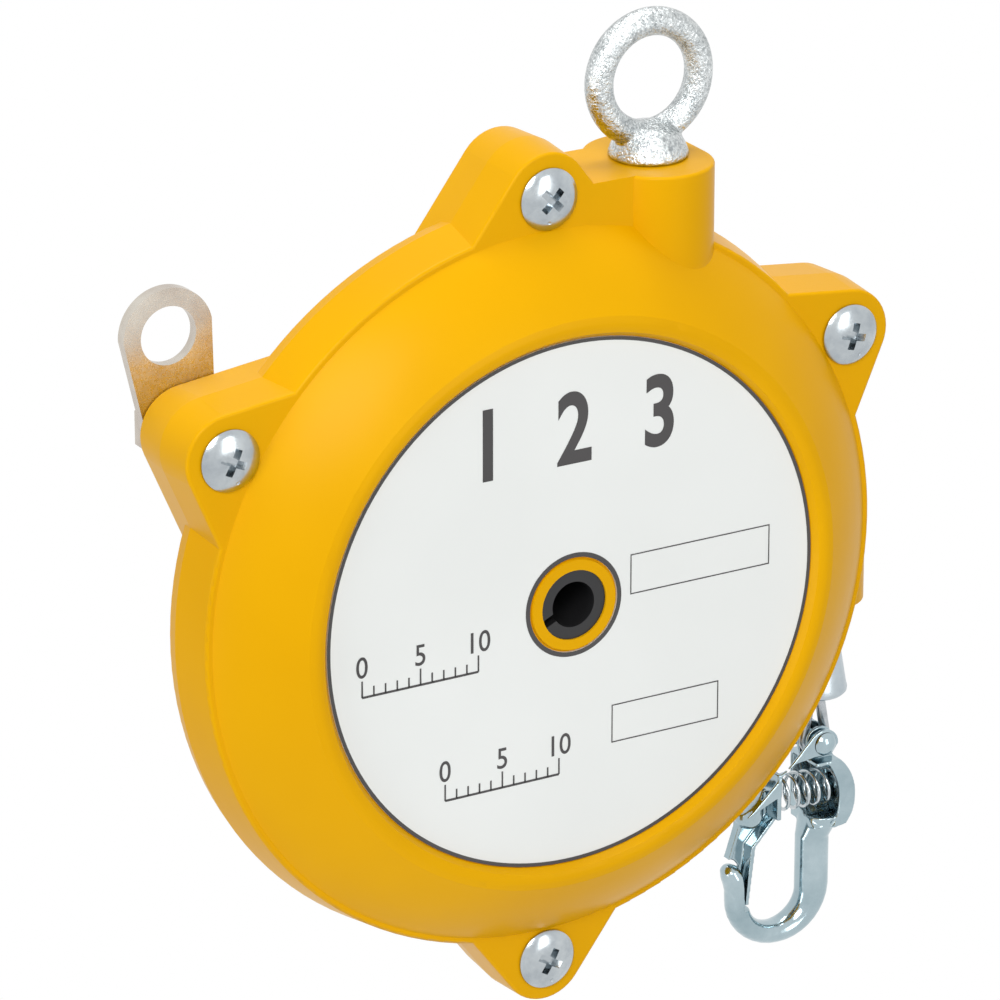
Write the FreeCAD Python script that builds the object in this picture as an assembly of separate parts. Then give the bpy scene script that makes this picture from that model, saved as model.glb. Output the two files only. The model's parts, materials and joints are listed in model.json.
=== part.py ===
import FreeCAD, Part
import math
import os

# Spring balancer for a hanging tool: a round two-shell housing with a spring-driven
# cable drum, a swivelling eyebolt on top, a safety plate, and a snap hook on the cable.
#
# Millimetres, +Z up.  Everything is laid out round the drum's axis, which runs along Y
# through (0, 0, 0) in the plane where the two shells meet; the front is at -Y.
# On export the parts move so that the origin is the centre of the eyebolt's ring.

V = FreeCAD.Vector

# ---- housing: radii about the drum axis, depths from the joint plane ----------------
WALL = 2.4                 # moulded wall of both shells
RIM_R = 70.3               # rim at the front flange
RIM_JOINT_R = 71.8         # rim where the shells meet
FLANGE_FRONT = 9.1         # joint plane to front flange face
FLANGE_BACK = 3.4          # joint plane to back flange face
SHOULDER_R = 69.0          # where the flange turns into the dome
CROWN_R = 55.3             # outer edge of the raised ring round the plate
CROWN_FRONT = 20.0         # joint plane to the raised ring
CROWN_BACK = 14.2          # joint plane to the flat back
DOME_BULGE = 0.7           # how far the domes swell beyond a straight cone
EDGE_ROUND = 0.6           # rounded outer edges of the mouldings
LAP_DEPTH = 1.6            # spigot of the back shell inside the front shell
LAP_WALL = 1.2             # its thickness
FIT_GAP = 0.05             # sliding clearance between mating parts
RIB_COUNT = 12             # stiffening ribs inside each shell
RIB_T = 1.6
RIB_FRONT_H = 1.2
RIB_BACK_H = 1.2

# ---- rating plate -------------------------------------------------------------------
PLATE_R = 51.1
PLATE_HOLE_R = 9.2
PLATE_T = 0.4
PLATE_FACE = 18.7          # joint plane to the face of the plate
HUB_RING_H = 0.3           # moulded ring round the arbor, proud of the plate

# ---- screw bosses -------------------------------------------------------------------
BOLT_CIRCLE_R = 75.0
BOSS_ANGLES = [90.0, 30.0, 270.0]
PLATE_BOSS_ANGLE = 150.0   # the boss that also carries the safety plate
BOSS_R = 8.5               # at the boss faces
BOSS_JOINT_R = 9.1         # where the shells meet
BOSS_BACK = 9.1            # joint plane to the back faces of the bosses
BOSS_FLANK = 36.7          # angle of the flanks to the radius
SCREW_R = 2.5
SCREW_HOLE_R = 2.75
SCREW_HEAD_R = 5.9
SCREW_HEAD_H = 2.6
SCREW_LENGTH = 18.0
RECESS_SPAN = 5.0          # cross recess in the screw heads
RECESS_W = 1.3
RECESS_DEPTH = 2.0
NUT_FLATS = 8.0
NUT_H = 4.0
NUT_POCKET_GAP = 0.1

# ---- safety plate -------------------------------------------------------------------
SAFETY_T = 2.3
SAFETY_EYE_R = 8.9
SAFETY_HOLE_R = 5.5
SAFETY_FOOT_R = 7.0
SAFETY_REACH = 18.1        # screw to hole
SAFETY_LEAN = 7.1          # outward lean from the vertical
LOCK_TAB_H = 2.4
LOCK_TAB_W = 6.4

# ---- suspension eyebolt -------------------------------------------------------------
EYE_X = 26.5               # eyebolt axis, sideways from the drum axis
EYE_SEAT_Z = 76.2          # top of the housing block that carries it
EYE_RISE = 14.8            # seat to ring centre
EYE_RING_R = 10.55         # centre line of the ring
EYE_WIRE_R = 2.65
EYE_COLLAR_R = 7.5
EYE_NECK_R = 5.2
EYE_COLLAR_H = 1.6
EYE_SHANK_R = 3.0
EYE_WASHER_T = 1.0
EYE_WASHER_R = 6.0
EYE_NUT_FLATS = 10.0
EYE_NUT_H = 5.0
EYE_FLOOR = 6.2            # wall between the seat and the nut's pocket
EYE_PLAY = 0.2             # axial play that lets the housing swivel
BLOCK_R = 10.5             # rounded ends of the block
BLOCK_HALF = 3.1           # half the straight length between them
BLOCK_POCKET_R = 6.4

# ---- cable, drum and mainspring -----------------------------------------------------
CABLE_R = 1.0
CABLE_X = 65.0             # where the cable hangs
CABLE_TRAVEL = 500.0
DRUM_PITCH_R = 57.0
DRUM_FLANGE_R = 59.0
DRUM_FLANGE_T = 1.0
DRUM_TURNS = 2             # turns of cable side by side
DRUM_BARREL_R = 50.0       # inside of the spring barrel
DRUM_WEB_T = 2.0
DRUM_HUB_R = 12.0
DRUM_HUB_BACK = 10.0
DRUM_RIBS = 6
BUSH_WALL = 1.9
SPRING_T = 0.6
SPRING_W = 9.0
SPRING_TURNS = 8
SPRING_GAP = 0.3           # between the spring and what is beside it
COVER_T = 0.8

# ---- tension arbor ------------------------------------------------------------------
ARBOR_R = 6.7
ARBOR_BORE_R = 4.4
ARBOR_SLOT_W = 1.6
ARBOR_SLOT_ANGLE = 205.0
ARBOR_COLLAR_R = 8.4
ARBOR_COLLAR_T = 0.5
ARBOR_SOCKET = 6.0         # hexagon across flats, deep in the bore
ARBOR_FLOOR = 7.0
LOCK_NUT_FLATS = 19.0
LOCK_NUT_H = 3.6
LOCK_WASHER_T = 1.0
LOCK_WASHER_R = 11.0
RUNNING_GAP = 0.06         # radial clearance of shafts in their bores

# ---- cable outlet and stopper -------------------------------------------------------
OUTLET_Z = -18.0           # underside of the outlet boss
OUTLET_R = 8.8
OUTLET_TOP = -4.0
GUIDE_R = 4.5              # guide bush in the outlet
GUIDE_FLANGE_R = 6.0
GUIDE_FLANGE_T = 1.0
GUIDE_TOP = -8.0
GUIDE_MOUTH_R = 3.0
GUIDE_MOUTH_H = 3.5
STOPPER_TOP_R = 3.2
STOPPER_BOTTOM_R = 5.8
STOPPER_H = 16.2
STOPPER_GAP = 0.2
RECESS_R = 6.3             # hollow in the rim that takes the stopper
RECESS_WALL = 1.3
SLEEVE_R = 2.0
SLEEVE_H = 8.0
SLEEVE_SINK = 4.0          # how far the crimp sleeve sits up inside the stopper
LEAD_BEND_R = 8.0

# ---- snap hook: heights from the rivet ----------------------------------------------
RIVET_Z = -47.5
RIVET_R = 1.3
RIVET_HEAD_R = 2.3
RIVET_HEAD_H = 1.2
SHEET = 0.8                # pressed sheet of the hook and the latch
FRAME_HALF = 5.0           # half width of the hook's channel
HOOK_GAP = 0.15            # side clearance between latch and hook
EAR_R = 3.0
SHANK_X = 64.3             # centre of the hook's shank
SHANK_TOP = -62.0
SHANK_R = 2.6
SHANK_WIDE = 3.8
HOOK_BEND_X = 55.8
HOOK_BEND_Z = -77.5
HOOK_BEND_TURN = 160.0
HOOK_TIP = 4.8
HOOK_BULB_R = 2.9
LATCH_COIL_R = 3.5
LATCH_WIRE_R = 0.4
LATCH_COILS = 4

# ---- values that follow from the sizes above ----------------------------------------
RIM_INNER_R = SHOULDER_R - 1.0
PLATE_SEAT = PLATE_FACE - PLATE_T
FRONT_FLOOR = -(PLATE_SEAT - WALL)
BACK_FLOOR = CROWN_BACK - WALL
BORE_R = ARBOR_R + RUNNING_GAP
GROOVE_R = DRUM_PITCH_R - CABLE_R
GROOVE_FRONT = CABLE_R + 0.1 - 2 * CABLE_R * DRUM_TURNS - 0.4
GROOVE_BACK = CABLE_R + 0.2
COVER_FRONT = FRONT_FLOOR + 1.9
SPRING_FRONT = COVER_FRONT + COVER_T + SPRING_GAP
WEB_FRONT = SPRING_FRONT + SPRING_W + SPRING_GAP
FRAME_IN = FRAME_HALF - SHEET
LATCH_HALF = FRAME_IN - HOOK_GAP
EAR_OUT = LATCH_HALF - SHEET - HOOK_GAP
EAR_IN = EAR_OUT - SHEET
EYE_CENTRE = V(EYE_X, 0, EYE_SEAT_Z + EYE_RISE)


# ---- small helpers ------------------------------------------------------------------
def outline(steps, place):
    """Closed wire through steps: a point, or a pair (point on the arc, end of the arc)."""
    edges = []
    last = steps[0]
    for step in steps[1:] + [steps[0]]:
        if isinstance(step[0], tuple):
            edges.append(Part.Arc(place(last), place(step[0]), place(step[1])).toShape())
            last = step[1]
        elif place(last).distanceToPoint(place(step)) > 1e-6:
            edges.append(Part.makeLine(place(last), place(step)))
            last = step
    return Part.Wire(edges)


def revolved(steps):
    """Ring or disc about the drum axis; steps are (radius, y)."""
    wire = outline(steps, lambda p: V(p[0], p[1], 0))
    return Part.Face(wire).revolve(V(0, 0, 0), V(0, 1, 0), 360)


def revolved_z(steps, x):
    """Solid of revolution about the vertical through x; steps are (radius, z)."""
    wire = outline(steps, lambda p: V(x + p[0], 0, p[1]))
    return Part.Face(wire).revolve(V(x, 0, 0), V(0, 0, 1), 360)


def slab(steps, y0, y1):
    """Plate with an outline in X and Z, from depth y0 to y1."""
    wire = outline(steps, lambda p: V(p[0], y0, p[1]))
    return Part.Face(wire).extrude(V(0, y1 - y0, 0))


def rod_y(x, z, r, y0, y1):
    return Part.makeCylinder(r, y1 - y0, V(x, y0, z), V(0, 1, 0))


def rod_z(x, r, z0, z1):
    return Part.makeCylinder(r, z1 - z0, V(x, 0, z0), V(0, 0, 1))


def hexagon(flats, x, z, y0, y1):
    corner = flats / math.sqrt(3)
    points = []
    for i in range(6):
        turn = math.radians(60 * i + 30)
        points.append((x + corner * math.cos(turn), z + corner * math.sin(turn)))
    return slab(points, y0, y1)


def polar(radius, degrees):
    turn = math.radians(degrees)
    return radius * math.cos(turn), radius * math.sin(turn)


def spun(shape, degrees):
    """Copy turned about the drum axis, counter-clockwise seen from the front."""
    copy = shape.copy()
    copy.rotate(V(0, 0, 0), V(0, 1, 0), -degrees)
    return copy


def fused(shapes):
    return shapes[0].multiFuse(shapes[1:]).removeSplitter()


def rounded(solid, radius, wanted):
    """Fillet the edges whose every point satisfies wanted."""
    edges = []
    for edge in solid.Edges:
        if all(wanted(point) for point in edge.discretize(5)):
            edges.append(edge)
    return solid.makeFillet(radius, edges)


def write(node, shape):
    copy = shape.copy()
    copy.translate(EYE_CENTRE.negative())
    copy.exportStep("parts/" + node + ".step")


# ---- housing shells -----------------------------------------------------------------
def dome_arc(outer, inner, bulge):
    """Arc from outer to inner, swollen away from the middle of the housing."""
    run_r = inner[0] - outer[0]
    run_y = inner[1] - outer[1]
    length = math.hypot(run_r, run_y)
    side = math.copysign(1, run_y)
    mid_r = (outer[0] + inner[0]) / 2 + bulge * abs(run_y) / length
    mid_y = (outer[1] + inner[1]) / 2 + side * bulge * abs(run_r) / length
    return ((mid_r, mid_y), inner)


def dome_inside(shoulder, crown, floor):
    """Ends of the dome's inner face: the outer cone moved in by the wall."""
    run_r = crown[0] - shoulder[0]
    run_y = crown[1] - shoulder[1]
    length = math.hypot(run_r, run_y)
    side = math.copysign(1, run_y)
    off_r = -WALL * abs(run_y) / length
    off_y = -side * WALL * abs(run_r) / length
    slope = run_y / run_r
    start_y = shoulder[1] + off_y + (RIM_INNER_R - shoulder[0] - off_r) * slope
    floor_r = shoulder[0] + off_r + (floor - shoulder[1] - off_y) / slope
    return (RIM_INNER_R, start_y), (floor_r, floor)


def front_outside():
    shoulder = (SHOULDER_R, -FLANGE_FRONT)
    crown = (CROWN_R, -CROWN_FRONT)
    ring_in = PLATE_R + 1.1
    steps = [(0, 0), (RIM_JOINT_R, 0), (RIM_R, -FLANGE_FRONT + EDGE_ROUND)]
    steps.append(((RIM_R - 0.2, -FLANGE_FRONT + 0.2), (RIM_R - EDGE_ROUND, -FLANGE_FRONT)))
    steps.append(shoulder)
    steps.append(dome_arc(shoulder, crown, DOME_BULGE))
    steps.append((((CROWN_R + ring_in) / 2, -CROWN_FRONT - 0.35), (ring_in, -CROWN_FRONT)))
    steps.append((PLATE_R + 0.2, -PLATE_FACE + 0.1))
    steps.append((PLATE_R + 0.2, -PLATE_SEAT))
    steps.append((PLATE_HOLE_R - 0.3, -PLATE_SEAT))
    steps.append((PLATE_HOLE_R - 0.5, -PLATE_FACE - HUB_RING_H))
    steps.append((0, -PLATE_FACE - HUB_RING_H))
    return revolved(steps)


def front_hollow():
    shoulder = (SHOULDER_R, -FLANGE_FRONT)
    start, end = dome_inside(shoulder, (CROWN_R, -CROWN_FRONT), FRONT_FLOOR)
    lap_r = RIM_INNER_R + LAP_WALL / 2 + FIT_GAP
    steps = [(0, 0), (lap_r, 0), (lap_r, -LAP_DEPTH - FIT_GAP), (RIM_INNER_R, -LAP_DEPTH - FIT_GAP)]
    return revolved(steps + [start, end, (0, FRONT_FLOOR)])


def back_outside():
    shoulder = (SHOULDER_R + 0.6, FLANGE_BACK)
    crown = (CROWN_R, CROWN_BACK)
    side_r = RIM_JOINT_R - 0.5
    steps = [(0, 0), (RIM_JOINT_R, 0), (side_r, FLANGE_BACK - EDGE_ROUND)]
    steps.append(((side_r - 0.2, FLANGE_BACK - 0.2), (side_r - EDGE_ROUND, FLANGE_BACK)))
    steps.append(shoulder)
    steps.append(dome_arc(shoulder, crown, DOME_BULGE))
    steps.append((0, CROWN_BACK))
    return revolved(steps)


def back_hollow():
    shoulder = (SHOULDER_R + 0.6, FLANGE_BACK)
    start, end = dome_inside(shoulder, (CROWN_R, CROWN_BACK), BACK_FLOOR)
    return revolved([(0, 0), (RIM_INNER_R, 0), start, end, (0, BACK_FLOOR)])


def boss_outline(angle, r, foot_r):
    """Round boss with straight flanks that widen towards the housing."""
    lean = math.radians(BOSS_FLANK)
    touch_v = BOLT_CIRCLE_R + r * math.sin(lean)
    touch_w = r * math.cos(lean)
    foot_w = touch_w + (touch_v - foot_r) * math.tan(lean)
    turn = math.radians(angle)

    def place(v, w):
        return (v * math.cos(turn) - w * math.sin(turn), v * math.sin(turn) + w * math.cos(turn))

    nose = (place(BOLT_CIRCLE_R + r, 0), place(touch_v, touch_w))
    return [place(foot_r, -foot_w), place(touch_v, -touch_w), nose, place(foot_r, foot_w)]


def boss(angle, face, foot_r):
    """Drafted boss from the joint plane to its face, with a rounded outer edge."""
    wires = []
    for r, y in ((BOSS_JOINT_R, 0), (BOSS_R, face)):
        wires.append(outline(boss_outline(angle, r, foot_r), lambda p: V(p[0], y, p[1])))
    solid = Part.makeLoft(wires, True, True)

    def on_nose(point):
        return abs(point.y - face) < 1e-3 and math.hypot(point.x, point.z) > foot_r + 1

    return rounded(solid, EDGE_ROUND, on_nose)


def eye_block(side):
    """Half of the upright block that carries the eyebolt; side is -1 front, 1 back."""
    end_y = side * BLOCK_HALF
    tip_y = side * (BLOCK_HALF + BLOCK_R)
    steps = [(EYE_X - BLOCK_R, 0), (EYE_X - BLOCK_R, end_y)]
    steps.append(((EYE_X, tip_y), (EYE_X + BLOCK_R, end_y)))
    steps.append((EYE_X + BLOCK_R, 0))
    low = CROWN_R - WALL * 3
    wire = outline(steps, lambda p: V(p[0], p[1], low))
    block = Part.Face(wire).extrude(V(0, 0, EYE_SEAT_Z - low))

    def top_rim(point):
        return abs(point.z - EYE_SEAT_Z) < 1e-3 and abs(point.y) > 1e-3

    def top_edge(point):
        return abs(point.z - EYE_SEAT_Z) < 1e-3 and (top_rim(point) or abs(point.x - EYE_X) > BLOCK_R - 1e-3)

    return rounded(block, EDGE_ROUND, top_edge)


def eye_web(side, face):
    """Web between the top boss and the block."""
    low = CROWN_R
    y0, y1 = sorted((0, side * face))
    return slab([(0, low), (EYE_X, low), (EYE_X, EYE_SEAT_Z), (0, EYE_SEAT_Z)], y0, y1)


def half_space(side):
    big = 2 * RIM_JOINT_R
    low_y = -big if side < 0 else 0
    return Part.makeBox(4 * big, big, 4 * big, V(-2 * big, low_y, -2 * big))


def outlet_boss(side):
    boss_top = Part.makeSphere(OUTLET_R, V(CABLE_X, 0, OUTLET_TOP))
    tube = rod_z(CABLE_X, OUTLET_R, OUTLET_Z, OUTLET_TOP).fuse(boss_top)
    return tube.common(half_space(side))


def outlet_wall(side, outside):
    """Wall of the hollow in the rim that takes the stopper."""
    wall = rod_z(CABLE_X, RECESS_R + RECESS_WALL, -RIM_JOINT_R, OUTLET_Z)
    return wall.common(half_space(side)).common(outside)


def outlet_cuts():
    hollow = rod_z(CABLE_X, RECESS_R, -2 * RIM_JOINT_R, OUTLET_Z)
    seat = rod_z(CABLE_X, GUIDE_R, OUTLET_Z - 1, GUIDE_TOP)
    way_in = rod_z(CABLE_X, GUIDE_MOUTH_R + 0.8, GUIDE_TOP - 1, OUTLET_TOP + OUTLET_R)
    return [hollow, seat, way_in]


def eye_cuts():
    bore = rod_z(EYE_X, EYE_SHANK_R + RUNNING_GAP, CROWN_R, EYE_SEAT_Z + 1)
    pocket = rod_z(EYE_X, BLOCK_POCKET_R, CROWN_R, EYE_SEAT_Z - EYE_FLOOR)
    return [bore, pocket]


def ribs(r0, r1, y0, y1):
    bar = Part.makeBox(r1 - r0, y1 - y0, RIB_T, V(r0, y0, -RIB_T / 2))
    return [spun(bar, 360.0 * i / RIB_COUNT) for i in range(RIB_COUNT)]


def front_shell():
    outside = front_outside()
    solids = [outside, eye_block(-1), eye_web(-1, FLANGE_FRONT), outlet_boss(-1)]
    for angle in BOSS_ANGLES + [PLATE_BOSS_ANGLE]:
        solids.append(boss(angle, -FLANGE_FRONT, SHOULDER_R - 2 * WALL))
    body = fused(solids).cut(front_hollow())
    inner = [body, outlet_wall(-1, outside)]
    inner.append(revolved([(0, FRONT_FLOOR), (ARBOR_R + 3, FRONT_FLOOR),
                           (ARBOR_R + 3, FRONT_FLOOR + 1.2), (0, FRONT_FLOOR + 1.2)]))
    inner += ribs(ARBOR_R + 2, CROWN_R - 2 * WALL, FRONT_FLOOR - 0.2, FRONT_FLOOR + RIB_FRONT_H)
    body = fused(inner)
    cuts = outlet_cuts() + eye_cuts()
    cuts.append(rod_y(0, 0, BORE_R, -2 * CROWN_FRONT, 0))
    for angle in BOSS_ANGLES + [PLATE_BOSS_ANGLE]:
        x, z = polar(BOLT_CIRCLE_R, angle)
        cuts.append(rod_y(x, z, SCREW_HOLE_R, -FLANGE_FRONT - 1, 1))
    return body.cut(cuts)


def back_shell():
    outside = back_outside()
    foot_r = CROWN_R + (SHOULDER_R - CROWN_R) * 0.35
    solids = [outside, eye_block(1), eye_web(1, BOSS_BACK), outlet_boss(1)]
    for angle in BOSS_ANGLES + [PLATE_BOSS_ANGLE]:
        solids.append(boss(angle, BOSS_BACK, foot_r))
    body = fused(solids).cut(back_hollow())
    lap_r = RIM_INNER_R + LAP_WALL / 2
    spigot = revolved([(RIM_INNER_R - LAP_WALL / 2, -LAP_DEPTH), (lap_r, -LAP_DEPTH),
                       (lap_r, 0.6), (RIM_INNER_R - LAP_WALL / 2, 0.6)])
    gap_top = Part.makeBox(3 * BLOCK_R, 10, 2 * BLOCK_R, V(EYE_X - 1.5 * BLOCK_R, -9, CROWN_R - 2))
    gap_side = rod_z(CABLE_X, RECESS_R + RECESS_WALL + 0.3, -RIM_JOINT_R, OUTLET_Z)
    gap_outlet = rod_z(CABLE_X, OUTLET_R + 1, OUTLET_Z - 1, OUTLET_TOP + OUTLET_R)
    inner = [body, outlet_wall(1, outside), spigot.cut([gap_top, gap_side, gap_outlet])]
    inner.append(revolved([(0, BACK_FLOOR - 1.2), (ARBOR_R + 4, BACK_FLOOR - 1.2),
                           (ARBOR_R + 4, BACK_FLOOR), (0, BACK_FLOOR)]))
    inner += ribs(ARBOR_R + 3, CROWN_R - 2 * WALL, BACK_FLOOR - RIB_BACK_H, BACK_FLOOR + 0.2)
    body = fused(inner)
    cuts = outlet_cuts() + eye_cuts()
    cuts.append(rod_y(0, 0, BORE_R, 0, 2 * CROWN_BACK))
    for angle in BOSS_ANGLES:
        x, z = polar(BOLT_CIRCLE_R, angle)
        cuts.append(rod_y(x, z, SCREW_HOLE_R, -3, BOSS_BACK + 1))
        cuts.append(hexagon(NUT_FLATS + 2 * NUT_POCKET_GAP, x, z, BOSS_BACK - NUT_H, BOSS_BACK + 1))
    x, z = polar(BOLT_CIRCLE_R, PLATE_BOSS_ANGLE)
    cuts.append(rod_y(x, z, SCREW_HOLE_R, -3, BOSS_BACK + 1))
    return body.cut(cuts)


def rating_plate():
    steps = [(PLATE_HOLE_R, -PLATE_FACE), (PLATE_R, -PLATE_FACE)]
    return revolved(steps + [(PLATE_R, -PLATE_SEAT), (PLATE_HOLE_R, -PLATE_SEAT)])


# ---- fasteners and safety plate -----------------------------------------------------
def screw(angle, length):
    """Truss-head screw with a cross recess, its head on the front of a boss."""
    x, z = polar(BOLT_CIRCLE_R, angle)
    seat = -FLANGE_FRONT
    ball_r = (SCREW_HEAD_R ** 2 + SCREW_HEAD_H ** 2) / (2 * SCREW_HEAD_H)
    ball = Part.makeSphere(ball_r, V(x, seat - SCREW_HEAD_H + ball_r, z))
    head = ball.common(rod_y(x, z, SCREW_HEAD_R, seat - SCREW_HEAD_H, seat))
    shank = rod_y(x, z, SCREW_R - 0.02, seat - 0.5, seat + length)
    solid = head.fuse(shank)
    for wide, high in ((RECESS_SPAN, RECESS_W), (RECESS_W, RECESS_SPAN)):
        corner = V(x - wide / 2, seat - SCREW_HEAD_H - 1, z - high / 2)
        slot = Part.makeBox(wide, 1 + RECESS_DEPTH, high, corner)
        solid = solid.cut(slot)
    return solid


def case_screws():
    return Part.makeCompound([screw(angle, SCREW_LENGTH) for angle in BOSS_ANGLES])


def plate_screw():
    return screw(PLATE_BOSS_ANGLE, SCREW_LENGTH + SAFETY_T + NUT_H)


def nut(x, z, y0):
    return hexagon(NUT_FLATS, x, z, y0, y0 + NUT_H).cut(rod_y(x, z, SCREW_R, y0 - 1, y0 + NUT_H + 1))


def case_nuts():
    nuts = []
    for angle in BOSS_ANGLES:
        x, z = polar(BOLT_CIRCLE_R, angle)
        nuts.append(nut(x, z, BOSS_BACK - NUT_H))
    return Part.makeCompound(nuts)


def plate_nut():
    x, z = polar(BOLT_CIRCLE_R, PLATE_BOSS_ANGLE)
    return nut(x, z, BOSS_BACK + SAFETY_T)


def safety_plate():
    """Tapered zinc plate: the hull of a large eye and a small foot, with a lock tab."""
    foot_x, foot_z = polar(BOLT_CIRCLE_R, PLATE_BOSS_ANGLE)
    lean = math.radians(SAFETY_LEAN)
    up_x = -math.sin(lean)
    up_z = math.cos(lean)
    eye_x = foot_x + SAFETY_REACH * up_x
    eye_z = foot_z + SAFETY_REACH * up_z
    sine = (SAFETY_EYE_R - SAFETY_FOOT_R) / SAFETY_REACH
    cosine = math.sqrt(1 - sine * sine)

    def touch(x, z, r, side):
        across = side * cosine
        return (x + r * (across * up_z + sine * up_x), z + r * (-across * up_x + sine * up_z))

    top = (eye_x + SAFETY_EYE_R * up_x, eye_z + SAFETY_EYE_R * up_z)
    bottom = (foot_x - SAFETY_FOOT_R * up_x, foot_z - SAFETY_FOOT_R * up_z)
    steps = [touch(foot_x, foot_z, SAFETY_FOOT_R, 1), touch(eye_x, eye_z, SAFETY_EYE_R, 1)]
    steps.append((top, touch(eye_x, eye_z, SAFETY_EYE_R, -1)))
    steps.append(touch(foot_x, foot_z, SAFETY_FOOT_R, -1))
    steps.append((bottom, steps[0]))
    y0 = BOSS_BACK
    y1 = y0 + SAFETY_T
    plate = slab(steps, y0, y1)
    tab = Part.makeBox(1.6, LOCK_TAB_H + SAFETY_T, LOCK_TAB_W,
                       V(foot_x - SAFETY_FOOT_R, y0, foot_z - LOCK_TAB_W / 2))
    holes = [rod_y(eye_x, eye_z, SAFETY_HOLE_R, y0 - 1, y1 + 1)]
    holes.append(rod_y(foot_x, foot_z, SCREW_HOLE_R, y0 - 1, y1 + 1))
    return plate.fuse(tab).cut(holes)


# ---- suspension eyebolt -------------------------------------------------------------
def eyebolt():
    """Forged eyebolt: a ring on a flared neck and collar, with a plain shank below."""
    centre = EYE_CENTRE
    ring = Part.makeTorus(EYE_RING_R, EYE_WIRE_R, centre, V(0, 1, 0))
    neck_top = EYE_SEAT_Z + EYE_RISE - EYE_RING_R
    seat = EYE_SEAT_Z
    steps = [(0, seat), (EYE_COLLAR_R - 0.3, seat)]
    steps.append(((EYE_COLLAR_R, seat + 0.5), (EYE_COLLAR_R - 0.2, seat + EYE_COLLAR_H)))
    steps.append(((EYE_NECK_R + 0.3, seat + 2.6), (EYE_NECK_R - 0.6, neck_top + 0.6)))
    steps.append((0, neck_top + 0.6))
    neck = revolved_z(steps, EYE_X)
    shank_end = EYE_SEAT_Z - EYE_FLOOR - EYE_WASHER_T - EYE_NUT_H - 1
    shank = rod_z(EYE_X, EYE_SHANK_R, shank_end, seat + 1)
    hole = Part.makeCylinder(EYE_RING_R - EYE_WIRE_R, 4 * EYE_WIRE_R,
                             centre - V(0, 2 * EYE_WIRE_R, 0), V(0, 1, 0))
    return neck.cut(hole).fuse(ring).fuse(shank).removeSplitter()


def eye_washer():
    top = EYE_SEAT_Z - EYE_FLOOR - EYE_PLAY
    ring = rod_z(EYE_X, EYE_WASHER_R, top - EYE_WASHER_T, top)
    return ring.cut(rod_z(EYE_X, EYE_SHANK_R, top - 5, top + 5))


def eye_nut():
    top = EYE_SEAT_Z - EYE_FLOOR - EYE_PLAY - EYE_WASHER_T
    block = hexagon(EYE_NUT_FLATS, 0, 0, 0, EYE_NUT_H)
    block.rotate(V(0, 0, 0), V(1, 0, 0), 90)
    block.translate(V(EYE_X, 0, top - EYE_NUT_H))
    return block.cut(rod_z(EYE_X, EYE_SHANK_R, top - 2 * EYE_NUT_H, top + 1))


# ---- drum, mainspring and arbor -----------------------------------------------------
def cable_drum():
    """Cast drum: cable groove outside, spring barrel in front, ribbed web and hub."""
    wall_r = DRUM_BARREL_R + 3
    flange_0 = GROOVE_FRONT - DRUM_FLANGE_T
    flange_1 = GROOVE_BACK + DRUM_FLANGE_T
    web_back = WEB_FRONT + DRUM_WEB_T
    steps = [(DRUM_BARREL_R, COVER_FRONT + COVER_T), (wall_r, COVER_FRONT + COVER_T), (wall_r, flange_0)]
    steps += [(DRUM_FLANGE_R, flange_0), (DRUM_FLANGE_R, GROOVE_FRONT), (GROOVE_R, GROOVE_FRONT)]
    steps += [(GROOVE_R, GROOVE_BACK), (DRUM_FLANGE_R, GROOVE_BACK), (DRUM_FLANGE_R, flange_1)]
    steps += [(DRUM_BARREL_R + 1, flange_1), (DRUM_BARREL_R - 1, web_back), (DRUM_HUB_R, web_back)]
    steps += [(DRUM_HUB_R, DRUM_HUB_BACK), (ARBOR_R + BUSH_WALL, DRUM_HUB_BACK)]
    steps += [(ARBOR_R + BUSH_WALL, WEB_FRONT), (DRUM_BARREL_R, WEB_FRONT)]
    drum = revolved(steps)
    rib_run = DRUM_BARREL_R - DRUM_HUB_R
    bar = Part.makeBox(rib_run, flange_1 - web_back + 0.2, 2.0, V(DRUM_HUB_R - 0.5, web_back - 0.2, -1.0))
    bars = [spun(bar, 360.0 * i / DRUM_RIBS) for i in range(DRUM_RIBS)]
    return fused([drum] + bars)


def drum_bush():
    """Flanged plain bearing between the drum's hub and the arbor."""
    out_r = ARBOR_R + BUSH_WALL
    steps = [(BORE_R, WEB_FRONT), (out_r, WEB_FRONT), (out_r, DRUM_HUB_BACK)]
    steps += [(out_r + 1.5, DRUM_HUB_BACK), (out_r + 1.5, DRUM_HUB_BACK + 0.4), (BORE_R, DRUM_HUB_BACK + 0.4)]
    return revolved(steps)


def spring_cover():
    """Thin disc that keeps the mainspring in its barrel."""
    y0 = COVER_FRONT
    y1 = COVER_FRONT + COVER_T
    steps = [(ARBOR_COLLAR_R + 0.8, y0), (DRUM_BARREL_R + 3, y0), (DRUM_BARREL_R + 3, y1)]
    return revolved(steps + [(ARBOR_COLLAR_R + 0.8, y1)])


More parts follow.
